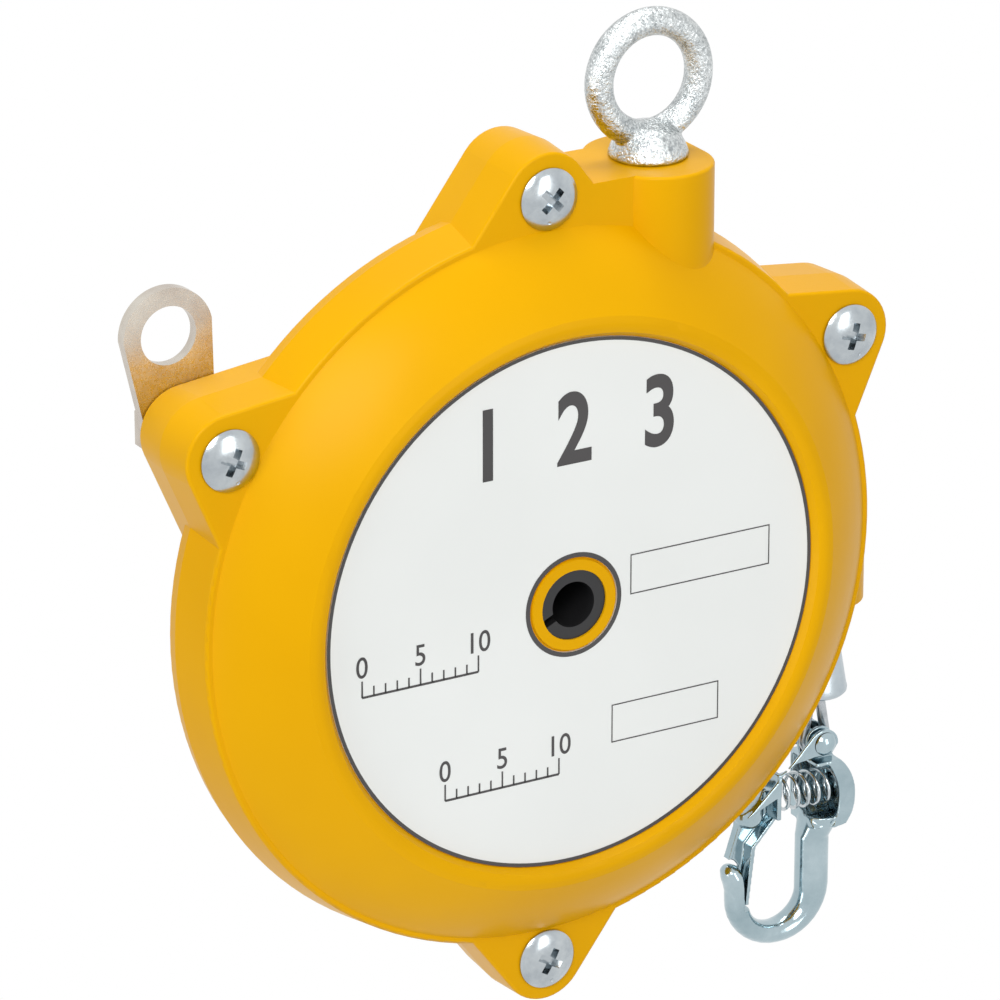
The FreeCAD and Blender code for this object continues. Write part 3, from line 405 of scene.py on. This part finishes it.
def settle(piece, place, material, body, stretch=1.0, angle=None):
    """Dresses a piece, shades it smooth, up to an angle where one is given, and lets it ride."""
    dress(piece, place, material, stretch)
    deselect()
    piece.select_set(True)
    bpy.context.view_layer.objects.active = piece
    if angle is None:
        bpy.ops.object.shade_smooth()
    else:
        bpy.ops.object.shade_smooth_by_angle(angle=math.radians(angle))
    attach(piece, body)
    return piece


# ---- shared effects -----------------------------------------------------------------
def moulding_group():
    """Moulded plastic: slow changes of tone, a little orange peel, fine handling marks."""
    tree, _, out = new_group("moulded_surface", [])
    coords = tree.nodes.new("ShaderNodeTexCoord").outputs["Object"]
    broad = noise(tree, coords, 28.0, 2.0)
    peel = noise(tree, coords, 650.0, 2.0)
    fine = noise(tree, coords, 2600.0, 2.0)
    tree.links.new(mapped(tree, broad, 0.3, 0.7, 0.0, 1.0), out.inputs["Tone"])
    tree.links.new(weighted(tree, peel, 0.5, broad, 0.5), out.inputs["Gloss"])
    tree.links.new(weighted(tree, peel, 0.75, fine, 0.25), out.inputs["Height"])
    return tree


def zinc_group():
    """Plated metal: cloudy patches, fine grain and, where asked, bright specks."""
    tree, given, out = new_group("plated_metal", [("Grain", 1.0), ("Speckle", 0.0)])
    coords = tree.nodes.new("ShaderNodeTexCoord").outputs["Object"]
    scaled = tree.nodes.new("ShaderNodeVectorMath")
    scaled.operation = "SCALE"
    tree.links.new(coords, scaled.inputs[0])
    tree.links.new(given.outputs["Grain"], scaled.inputs["Scale"])
    place = scaled.outputs["Vector"]
    clouds = noise(tree, place, 180.0, 4.0, 0.6)
    grain = noise(tree, place, 1500.0, 3.0, 0.6)
    lumps = noise(tree, place, 420.0, 3.0, 0.55)
    cloudy = mapped(tree, clouds, 0.3, 0.7, 0.0, 1.0)
    specks = mapped(tree, grain, 0.40, 0.56, 0.0, 1.0)
    share = given.outputs["Speckle"]
    rest = math_node(tree, "SUBTRACT", 1.0, share)
    tree.links.new(weighted(tree, cloudy, rest, specks, share), out.inputs["Tone"])
    tree.links.new(mapped(tree, grain, 0.3, 0.7, 0.0, 1.0), out.inputs["Gloss"])
    tree.links.new(weighted(tree, lumps, 0.7, grain, 0.3), out.inputs["Height"])
    return tree


GROUPS = {"moulded": moulding_group(), "zinc": zinc_group()}


def finish_material(name, group, dark, light, gloss, bump):
    """Material with colour, roughness and bump from a shared effect; gives its effect and shader too."""
    material = bpy.data.materials.new(name)
    material.use_nodes = True
    tree = material.node_tree
    shader = tree.nodes["Principled BSDF"]
    effect = tree.nodes.new("ShaderNodeGroup")
    effect.node_tree = GROUPS[group]
    colour = colour_mix(tree, effect.outputs["Tone"], dark, light)
    roughness = mapped(tree, effect.outputs["Gloss"], 0.0, 1.0, gloss[0], gloss[1])
    tree.links.new(colour, shader.inputs["Base Color"])
    tree.links.new(roughness, shader.inputs["Roughness"])
    bumped = tree.nodes.new("ShaderNodeBump")
    bumped.inputs["Strength"].default_value = bump[0]
    bumped.inputs["Distance"].default_value = bump[1]
    tree.links.new(effect.outputs["Height"], bumped.inputs["Height"])
    tree.links.new(bumped.outputs["Normal"], shader.inputs["Normal"])
    return material, effect, shader


def plastic(name, dark, light, gloss, bump, specular=0.5):
    """Moulded plastic, or ink, with its share of mirrored light."""
    material, _, shader = finish_material(name, "moulded", dark, light, gloss, bump)
    shader.inputs["Metallic"].default_value = 0.0
    shader.inputs["Specular IOR Level"].default_value = specular
    return material


def metal(name, dark, light, gloss, bump, grain=1.0, speckle=0.0):
    """Plated or bare metal: fineness of its grain, and how far specks replace the clouds."""
    material, effect, shader = finish_material(name, "zinc", dark, light, gloss, bump)
    effect.inputs["Grain"].default_value = grain
    effect.inputs["Speckle"].default_value = speckle
    shader.inputs["Metallic"].default_value = 1.0
    return material


def build_materials():
    """Materials by slot: darker and lighter colour, roughness from and to, bump and its depth."""
    return {
        "case": plastic(
            "case_yellow", (0.73, 0.362, 0.0), (0.78, 0.395, 0.0), (0.28, 0.36), (0.05, 0.0002), 0.08),
        "plate": plastic(
            "plate_satin", (0.80, 0.81, 0.78), (0.83, 0.84, 0.81), (0.30, 0.38), (0.03, 0.0001), 0.3),
        "bright_screws": metal(
            "screw_zinc", (0.4, 0.44, 0.47), (0.54, 0.58, 0.6), (0.14, 0.24), (0.08, 0.0001), 1.5),
        "zinc_nuts": metal(
            "nut_zinc", (0.36, 0.39, 0.41), (0.5, 0.53, 0.55), (0.26, 0.38), (0.2, 0.0001), 1.5),
        "warm_zinc": metal(
            "safety_zinc", (0.52, 0.46, 0.4), (0.66, 0.62, 0.55), (0.22, 0.34), (0.2, 0.0001), 0.8),
        "zinc_eyebolt": metal(
            "forged_zinc", (0.3, 0.33, 0.34), (0.76, 0.79, 0.79), (0.12, 0.28), (1.0, 0.0007), 1.3, 0.5),
        "drum_casting": metal(
            "drum_cast", (0.4, 0.41, 0.42), (0.52, 0.53, 0.54), (0.4, 0.55), (0.3, 0.0002), 1.0, 0.3),
        "bush_bronze": metal(
            "bronze", (0.52, 0.36, 0.18), (0.66, 0.48, 0.26), (0.3, 0.42), (0.1, 0.0001), 1.5),
        "cover_steel": metal(
            "cover_sheet", (0.45, 0.46, 0.47), (0.56, 0.57, 0.58), (0.3, 0.42), (0.1, 0.0001)),
        "spring_steel": metal(
            "blued_steel", (0.20, 0.22, 0.27), (0.34, 0.36, 0.41), (0.25, 0.36), (0.1, 0.0001)),
        "cable_steel": metal(
            "rope_steel", (0.34, 0.37, 0.39), (0.54, 0.57, 0.59), (0.24, 0.36), (0.2, 0.0001), 3.0, 0.2),
        "arbor_black": plastic(
            "arbor_black", (0.010, 0.010, 0.011), (0.018, 0.018, 0.019), (0.3, 0.42), (0.05, 0.0001)),
        "guide_nylon": plastic(
            "nylon", (0.72, 0.70, 0.62), (0.78, 0.76, 0.70), (0.35, 0.45), (0.05, 0.0001)),
        "stopper_zinc": metal(
            "stopper_satin", (0.44, 0.5, 0.54), (0.56, 0.62, 0.65), (0.28, 0.38), (0.1, 0.0001)),
        "sleeve_alloy": metal(
            "sleeve_alloy", (0.42, 0.46, 0.48), (0.56, 0.6, 0.62), (0.26, 0.38), (0.3, 0.0002), 1.5, 0.2),
        "hook_zinc": metal(
            "hook_bright_zinc", (0.31, 0.41, 0.45), (0.46, 0.56, 0.6),
            (0.1, 0.2), (0.16, 0.0002), 0.5, 0.1),
        "spring_bright": metal(
            "spring_wire", (0.46, 0.51, 0.53), (0.6, 0.64, 0.66), (0.12, 0.2), (0.05, 0.0001), 2.0),
        "ink": plastic(
            "plate_ink", (0.045, 0.042, 0.042), (0.060, 0.056, 0.056), (0.35, 0.45), (0.02, 0.0001)),
    }


def dress_cad_nodes(materials):
    for part in frame["record"]["subparts"]:
        node = NODES[part["node"]]
        node.data.materials.clear()
        node.data.materials.append(materials[part["material_slot"]])


# ---- print on the rating plate ------------------------------------------------------
def inked(piece, right, up, materials, narrow=1.0):
    """Stands flat print up in front of the plate, in metres, and inks it."""
    place = Matrix.Translation((PLATE_X + right * MM, PLATE_PLACE[1] + INK_FACE * MM, PLATE_Z + up * MM))
    piece.data.transform(place @ UPRIGHT @ Matrix.Diagonal((narrow, 1.0, 1.0, 1.0)))
    piece.data.materials.append(materials["ink"])
    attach(piece, "housing")


def drawn(piece, materials):
    """Settles print that is drawn in millimetres from the plate's middle."""
    settle(piece, PLATE_PLACE, materials["ink"], "housing", angle=30)


def hollowed(thick):
    """Leaves only a border, in its own units, of the flat piece that is active."""
    bpy.ops.object.mode_set(mode="EDIT")
    bpy.ops.mesh.select_all(action="SELECT")
    bpy.ops.mesh.inset(thickness=thick)
    bpy.ops.mesh.delete(type="FACE")
    bpy.ops.object.mode_set(mode="OBJECT")


def plate_text(name, words, type_style, right, up, materials):
    """Flat lettering, centred at a place on the plate."""
    size, narrow, bold = type_style
    deselect()
    bpy.ops.object.text_add()
    piece = bpy.context.object
    piece.name = name
    piece.data.body = words
    piece.data.size = size * MM
    piece.data.align_x = "CENTER"
    piece.data.offset = bold * MM
    piece.data.align_y = "CENTER"
    bpy.ops.object.convert(target="MESH")
    inked(bpy.context.object, right, up, materials, narrow)


def plate_ring(name, outer, inner, materials):
    deselect()
    bpy.ops.mesh.primitive_circle_add(vertices=192, radius=outer, fill_type="NGON")
    piece = bpy.context.object
    piece.name = name
    hollowed(outer - inner)
    inked(piece, 0, 0, materials)


def plate_frame(name, left, low, right, high, materials):
    """Printed box: a flat face inset to a thin border."""
    deselect()
    bpy.ops.mesh.primitive_plane_add(size=1.0)
    piece = bpy.context.object
    piece.name = name
    size = Matrix.Diagonal((right - left, high - low, 1.0, 1.0))
    middle = Matrix.Translation(((left + right) / 2, INK_FACE, (low + high) / 2))
    piece.data.transform(middle @ UPRIGHT @ size)
    hollowed(BOX_LINE)
    drawn(piece, materials)


def plate_scale(name, left, right, up, materials):
    """Printed scale: a line with ticks and three plain numbers over it."""
    low = up - SCALE_LINE / 2
    line = block(name + "_line", (left, INK_FACE, low), (right, INK_BACK, low + SCALE_LINE))
    drawn(line, materials)
    for number in range(11):
        at = left + (right - left) * number / 10
        top = up + (TICK_LONG if number % 5 == 0 else TICK_SHORT)
        label = f"{name}_tick_{number}"
        drawn(block(label, (at - TICK_HALF, INK_FACE, up), (at + TICK_HALF, INK_BACK, top)), materials)
    for number, word in enumerate(("0", "5", "10")):
        at = left + (right - left) * number / 2
        label = f"{name}_number_{number}"
        plate_text(label, word, SMALL_TYPE, at, up + SCALE_NUMBER_UP, materials)


def plate_print(materials):
    """Generic print: two rings, a row of plain numbers, two empty boxes and two plain scales."""
    plate_ring("border_line", PLATE_R, PLATE_R - BORDER_T * MM, materials)
    plate_ring("hub_line", HUB_LINE[0] * MM, HUB_LINE[1] * MM, materials)
    for number in (1, 2, 3):
        right = (number - 2) * NUMBER_STEP
        plate_text(f"number_{number}", str(number), LARGE_TYPE, right, NUMBER_UP, materials)
    plate_frame("upper_box", *UPPER_BOX, materials)
    plate_frame("lower_box", *LOWER_BOX, materials)
    plate_scale("upper", *UPPER_SCALE, materials)
    plate_scale("lower", *LOWER_SCALE, materials)


# ---- fasteners ----------------------------------------------------------------------
def cross_cutter():
    """Tapered cross that sinks the recess of a screw head."""
    arms = []
    floor = RECESS_DEEP - SCREW_HEAD_H
    along, across = RECESS_FLOOR
    for wide, high, taper in (
            (RECESS_SPAN, RECESS_WIDE, (along, 1, across)), (RECESS_WIDE, RECESS_SPAN, (across, 1, along))):
        arm = block("recess_arm", (-wide / 2, -4.0, -high / 2), (wide / 2, floor, high / 2))
        choose(arm, lambda _, place: place.y > -1.0)
        bpy.ops.transform.resize(value=taper)
        bpy.ops.object.mode_set(mode="OBJECT")
        arms.append(arm)
    finish(arms[0], "BOOLEAN", operation="UNION", solver="EXACT", object=arms[1])
    bpy.data.objects.remove(arms[1])
    return arms[0]


def screw(name, length):
    """Low-domed screw, its head in front of the boss, with a cross recess and a dot."""
    profile = [(SCREW_SHANK_R - 0.4, length), (SCREW_SHANK_R, length - 0.5), (SCREW_SHANK_R, 0.0)]
    profile += [(radius, -height) for radius, height in SCREW_DOME]
    head = loft(name, round_rings(profile, "Y"), 64)
    return carve(head, cross_cutter(), ball("dot", SCREW_DOT, SCREW_DOT_R))


def copied(piece, name):
    twin = piece.copy()
    twin.data = piece.data.copy()
    twin.name = name
    bpy.context.scene.collection.objects.link(twin)
    return twin


def add_screws(materials):
    first = screw("case_screw_1", CASE_SCREW_END / MM - SCREW_FACE)
    screws = [first, copied(first, "case_screw_2"), copied(first, "case_screw_3")]
    rows = [(s, a, t, "case_screws") for s, a, t in zip(screws, SCREW_ANGLES, RECESS_TURNS)]
    long_screw = screw("long_plate_screw", PLATE_SCREW_END / MM - SCREW_FACE)
    rows.append((long_screw, PLATE_SCREW_ANGLE, PLATE_RECESS_TURN, "plate_screw"))
    for piece, angle, turn, node in rows:
        piece.data.transform(Matrix.Rotation(math.radians(turn), 4, "Y"))
        x = PLATE_X + BOLT_CIRCLE_R * MM * math.cos(math.radians(angle))
        z = PLATE_Z + BOLT_CIRCLE_R * MM * math.sin(math.radians(angle))
        place = (x, SCREW_FACE * MM, z)
        settle(piece, place, materials["bright_screws"], "housing", angle=32)
        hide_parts(node)


def add_eyebolt(materials):
    """Drop-forged eyebolt: ring, domed neck and coned collar in one rough skin."""
    deselect()
    bpy.ops.mesh.primitive_torus_add(
        major_radius=EYE_RING_R, minor_radius=EYE_WIRE_R, major_segments=96, minor_segments=32)
    ring = bpy.context.object
    ring.data.transform(UPRIGHT)
    profile = [(radius, EYE_SEAT + height) for radius, height in EYE_NECK]
    neck = loft("neck", round_rings(profile), 48)
    low = EYE_BOTTOM / MM
    ends = [(EYE_SHANK_R - 0.4, low), (EYE_SHANK_R, low + 0.5), (EYE_SHANK_R, EYE_SEAT + 1)]
    shank = loft("shank", round_rings(ends), 40)
    piece = forged("forged_eyebolt", [ring, neck, shank], voxel=0.3, rounds=4)
    settle(piece, (0, 0, 0), materials["zinc_eyebolt"], "hanger")
    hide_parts("eyebolt")


def add_stopper(materials):
    """Turned stopper: a long cone with a rounded lower edge, sunk below for the sleeve."""
    low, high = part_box("stopper")
    profile = [(radius, high.z / MM - depth) for radius, depth in STOPPER_TURNED]
    piece = loft("turned_stopper", round_rings(profile), 64)
    middle = (low.x + high.x) / 2
    settle(piece, (middle, 0, 0), materials["stopper_zinc"], "cable_end", angle=40)
    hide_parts("stopper")


def add_rope(materials):
    """Rope from the guide bush to the stopper: one straight round skin."""
    low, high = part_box("cable_run")
    radius = (high.x - low.x) / 2 / MM
    piece = loft("drawn_rope", round_rings([(radius, high.z / MM), (radius, low.z / MM)]), 24)
    middle = (low.x + high.x) / 2
    slots = {part["node"]: part["material_slot"] for part in frame["record"]["subparts"]}
    dress(piece, (middle, 0, 0), materials[slots["cable_run"]])
    piece.data.set_sharp_from_angle(angle=math.radians(40))
    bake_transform(piece)
    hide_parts("cable_run")


# ---- snap hook: places are measured from the rivet -----------------------------------
def bar_ring(x, z, turn, wide, deep):
    return ((x, 0, z), (turn, "Y"), (wide, deep))


def hook_bar():
    """Leg, bow and nose: round above, flatter round the bow, leaning out at the tip."""
    rings = [bar_ring(LEG_X, -LEG_TOP, 0, LEG_WIDE, LEG_DEEP)]
    rings.append(bar_ring(LEG_X, -(LEG_TOP + BOW_DROP) / 2, 0, LEG_WIDE, LEG_DEEP))
    middle = LEG_X - BOW_R
    for step in range(19):
        turn = 10 * step
        wide = BOW_THIN + (LEG_WIDE - BOW_THIN) * max(0, 1 - turn / 90)
        if turn > 90:
            wide = BOW_THIN + (NOSE_THICK - BOW_THIN) * (turn - 90) / 90
        x = middle + BOW_R * math.cos(math.radians(turn))
        z = -BOW_DROP - BOW_R * math.sin(math.radians(turn))
        rings.append(bar_ring(x, z, turn, wide, LEG_DEEP))
    lean = math.tan(math.radians(NOSE_LEAN))
    for share, size in NOSE_TAPER:
        x = middle - BOW_R - NOSE_RISE * share * share * lean
        deep = (LEG_DEEP + (NOSE_THICK - LEG_DEEP) * share * 0.5) * size
        turn = 180 - 2 * NOSE_LEAN * min(0.5, share)
        rings.append(bar_ring(x, NOSE_RISE * share - BOW_DROP, turn, NOSE_THICK * size, deep))
    notch = block("notch", (-16.9, -5.0, -33.7), (LEG_X - BOW_R, 5.0, NOSE_RISE - BOW_DROP + 0.2))
    return carve(loft("bar", rings), notch)


def add_hook(materials):
    """Hook: back plate, round wall and rolled lip of the spring's hollow, leg, bow and nose."""
    side = ((6.6, -12.0), (5.85, -16.2))
    back = [(HOOK_BACK_X, HOOK_ROOF), (3.0, HOOK_ROOF), side, (HOOK_BACK_X, -16.2)]
    wall = [(3.0, HOOK_ROOF), side, (4.3, -17.4), ((5.7, -12.0), (2.3, HOOK_ROOF - 0.8))]
    lip = [(0.4, HOOK_ROOF), (3.0, HOOK_ROOF), side, (4.6, -18.2), (1.6, -18.6)]
    lip.append(((3.0, -12.0), (0.6, HOOK_ROOF - 0.9)))
    roof = [(HOOK_BACK_X, HOOK_ROOF), (3.0, HOOK_ROOF)]
    roof += [(3.0, HOOK_ROOF - HOOK_WALL), (HOOK_BACK_X, HOOK_ROOF - HOOK_WALL)]
    ramp = [(4.4, -12.5), (1.0, -15.6), (-3.0, -17.4), (-4.2, -18.4), (4.4, -18.4)]
    pieces = [slab("back", back, HOOK_HALF - HOOK_WALL, HOOK_HALF)]
    pieces.append(slab("wall", wall, -HOOK_HALF, HOOK_HALF))
    pieces.append(slab("lip", lip, -HOOK_HALF - 0.2, -HOOK_HALF + 0.8))
    pieces.append(slab("roof", roof, -HOOK_HALF, HOOK_HALF))
    pieces.append(slab("ramp", ramp, -2.2, 4.9, "X"))
    foot = bar_ring(1.7, -16.4, 0, 4.1, HOOK_HALF - 0.1)
    pieces.append(loft("shoulder", [foot, bar_ring(LEG_X, -LEG_TOP - 0.5, 0, LEG_WIDE, LEG_DEEP)]))
    ear = [(-3.0, 0.0), ((0.0, 3.0), (3.0, 0.0)), (3.0, HOOK_ROOF - 0.3), (HOOK_BACK_X, HOOK_ROOF - 0.3)]
    for near, far in ((-EAR_IN - HOOK_WALL, -EAR_IN), (EAR_IN, EAR_IN + HOOK_WALL)):
        pieces.append(slab("ear", ear, near, far))
    pieces.append(hook_bar())
    piece = forged("snap_hook", pieces, voxel=0.22, rounds=5)
    settle(piece, RIVET_PLACE, materials["hook_zinc"], "hook", HOOK_STRETCH)
    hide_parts("hook_frame")


def add_latch(materials):
    """Pressed latch: two cheeks, a wall for the spring, a bead, and a flat with raised edges."""
    arc = ((-9.3, -5.0), (-2.7, 1.9))
    cheek = [(-17.4, -12.6), arc, ((0.42, 2.97), (2.97, -0.42)), (1.5, -2.6), (-2.4, -2.55)]
    cheek += [(-6.5, -3.0), (-9.6, -4.6), (-9.6, -9.2)]
    flat = [(-9.6, -9.2), (-9.6, -14.6), (-14.4, -20.0), (-15.8, -32.4), (-16.5, -32.4)]
    flat += [(-16.5, -24.6), (-17.4, -23.4), (-19.4, -22.3), (-17.4, -15.9), (-17.4, -12.6)]
    right = [(-9.6, -14.6), (-14.4, -20.0), (-15.8, -32.4)]
    right += [(-16.5, -32.4), (-15.3, -20.0), (-10.5, -14.6)]
    left = [(-17.4, -12.6), (-17.4, -15.9), (-19.4, -22.3)]
    left += [(-18.6, -22.3), (-16.6, -15.9), (-16.6, -12.6)]
    pieces = []
    for near, far in ((-CHEEK_OUT, CHEEK_T - CHEEK_OUT), (CHEEK_OUT - CHEEK_T, CHEEK_OUT)):
        pieces.append(slab("cheek", cheek, near, far))
    pieces.append(block("seat", (-10.5, -3.9, -14.6), (-9.6, 3.9, -4.6)))
    pieces.append(slab("flat", flat, 0.4, 1.2))
    pieces.append(slab("right_edge", right, -2.4, 0.6))
    pieces.append(slab("left_edge", left, -0.7, 0.6))
    bead = [((BEAD_X, BEAD_Y, z), (0, "Z"), (BEAD_R, BEAD_R)) for z in (BEAD_LOW, BEAD_HIGH)]
    for rounded in (loft("bead", bead), ball("bead_end", (BEAD_X, BEAD_Y, BEAD_LOW), BEAD_R)):
        above = [(-17.4, -12.6), (-2.7, 1.9), (-10.0, 20.0), (-40.0, 0.0), (-40.0, -12.6)]
        pieces.append(carve(rounded, slab("above", above, -6.0, 6.0)))
    piece = forged("snap_latch", pieces, voxel=0.17, rounds=3)
    settle(piece, RIVET_PLACE, materials["hook_zinc"], "latch", HOOK_STRETCH)
    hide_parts("latch_lever")


def add_spring(materials):
    """Coil spring between the latch's wall and the round side of the hook."""
    deselect()
    bpy.ops.mesh.primitive_circle_add(vertices=12, radius=SPRING_WIRE_R)
    piece = bpy.context.object
    piece.name = "coil_spring"
    piece.data.transform(Matrix.Translation((SPRING_COIL_R, 0, 0)) @ UPRIGHT)
    way = SPRING_RIGHT - SPRING_LEFT
    pitch = way.length / SPRING_TURNS
    finish(piece, "SCREW", angle=2 * math.pi, screw_offset=pitch, iterations=SPRING_TURNS,
           steps=28, render_steps=28, axis="Z")
    close_up(piece)
    aim = way.to_track_quat("Z", "Y").to_matrix().to_4x4()
    piece.data.transform(Matrix.Translation(SPRING_LEFT) @ aim)
    settle(piece, RIVET_PLACE, materials["spring_bright"], "hook", HOOK_STRETCH)
    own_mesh(piece)
    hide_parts("latch_spring")


# ---- surroundings -------------------------------------------------------------------
def seen_directly(tree):
    """1 for rays from the camera, in reflections and through glass; 0 for the light itself."""
    paths = tree.nodes.new("ShaderNodeLightPath").outputs
    seen = math_node(tree, "MAXIMUM", paths["Is Camera Ray"], paths["Is Glossy Ray"])
    return math_node(tree, "MAXIMUM", seen, paths["Is Transmission Ray"])


def white_to_camera(tree, shader):
    """Shows plain white to the camera and in reflections, the given shader elsewhere."""
    white = tree.nodes.new("ShaderNodeEmission")
    white.inputs["Color"].default_value = (1, 1, 1, 1)
    white.inputs["Strength"].default_value = 1.0
    mix = tree.nodes.new("ShaderNodeMixShader")
    tree.links.new(seen_directly(tree), mix.inputs[0])
    tree.links.new(shader, mix.inputs[1])
    tree.links.new(white.outputs[0], mix.inputs[2])
    return mix.outputs[0]


def add_floor():
    deselect()
    bpy.ops.mesh.primitive_plane_add(size=FLOOR_SIZE, location=(0, 0, 0))
    floor = bpy.context.object
    floor.name = "floor"
    floor.data.transform(Matrix.Translation((0, 0, LOWEST - FLOOR_DROP)))
    material = bpy.data.materials.new("floor_pale")
    material.use_nodes = True
    tree = material.node_tree
    shader = tree.nodes["Principled BSDF"]
    shader.inputs["Base Color"].default_value = (0.86, 0.86, 0.86, 1)
    shader.inputs["Roughness"].default_value = 0.8
    out = tree.nodes["Material Output"]
    tree.links.new(white_to_camera(tree, shader.outputs[0]), out.inputs["Surface"])
    floor.data.materials.append(material)


def add_world():
    world = bpy.data.worlds.new("studio")
    bpy.context.scene.world = world
    world.use_nodes = True
    tree = world.node_tree
    soft = tree.nodes["Background"]
    soft.inputs["Color"].default_value = (0.93, 0.96, 1.0, 1)
    soft.inputs["Strength"].default_value = SOFT_LIGHT
    white = tree.nodes.new("ShaderNodeBackground")
    white.inputs["Color"].default_value = (1, 1, 1, 1)
    white.inputs["Strength"].default_value = 1.0
    mix = tree.nodes.new("ShaderNodeMixShader")
    tree.links.new(seen_directly(tree), mix.inputs[0])
    tree.links.new(soft.outputs[0], mix.inputs[1])
    tree.links.new(white.outputs[0], mix.inputs[2])
    tree.links.new(mix.outputs[0], tree.nodes["World Output"].inputs["Surface"])


def add_lamp(name, place, wide, high, watts):
    data = bpy.data.lights.new(name, "AREA")
    data.shape = "RECTANGLE"
    data.size = wide
    data.size_y = high
    data.energy = watts
    lamp = bpy.data.objects.new(name, data)
    lamp.location = place
    lamp.rotation_euler = (LAMP_TARGET - Vector(place)).to_track_quat("-Z", "Y").to_euler()
    bpy.context.scene.collection.objects.link(lamp)


def add_lamps():
    """Soft lamps: place, width, height and watts of each."""
    add_lamp("key_softbox", (-0.75, -1.05, 0.85), 0.7, 0.7, 12.2)
    add_lamp("front_fill", (0.4, -1.5, 0.25), 0.5, 1.0, 4.4)
    add_lamp("top_softbox", (0.1, 0.2, 1.2), 1.0, 0.5, 8.8)
    add_lamp("left_strip", (-1.1, -0.2, -0.1), 0.25, 1.0, 2.8)


def add_camera():
    data = bpy.data.cameras.new("camera")
    data.lens = LENS
    data.sensor_width = 36.0
    data.clip_end = 50.0
    flat = math.cos(VIEW_ELEVATION)
    sideways = -math.sin(VIEW_AZIMUTH) * flat
    away = Vector((sideways, -math.cos(VIEW_AZIMUTH) * flat, math.sin(VIEW_ELEVATION)))
    camera = bpy.data.objects.new("camera", data)
    camera.location = AIM + away * AIM_DISTANCE
    camera.rotation_euler = (-away).to_track_quat("-Z", "Y").to_euler()
    bpy.context.scene.collection.objects.link(camera)
    bpy.context.scene.camera = camera


bpy.context.scene.view_settings.view_transform = "Standard"
materials = build_materials()
dress_cad_nodes(materials)
plate_print(materials)
add_screws(materials)
add_eyebolt(materials)
add_stopper(materials)
add_rope(materials)
add_hook(materials)
add_latch(materials)
add_spring(materials)
add_floor()
add_world()
add_lamps()
add_camera()
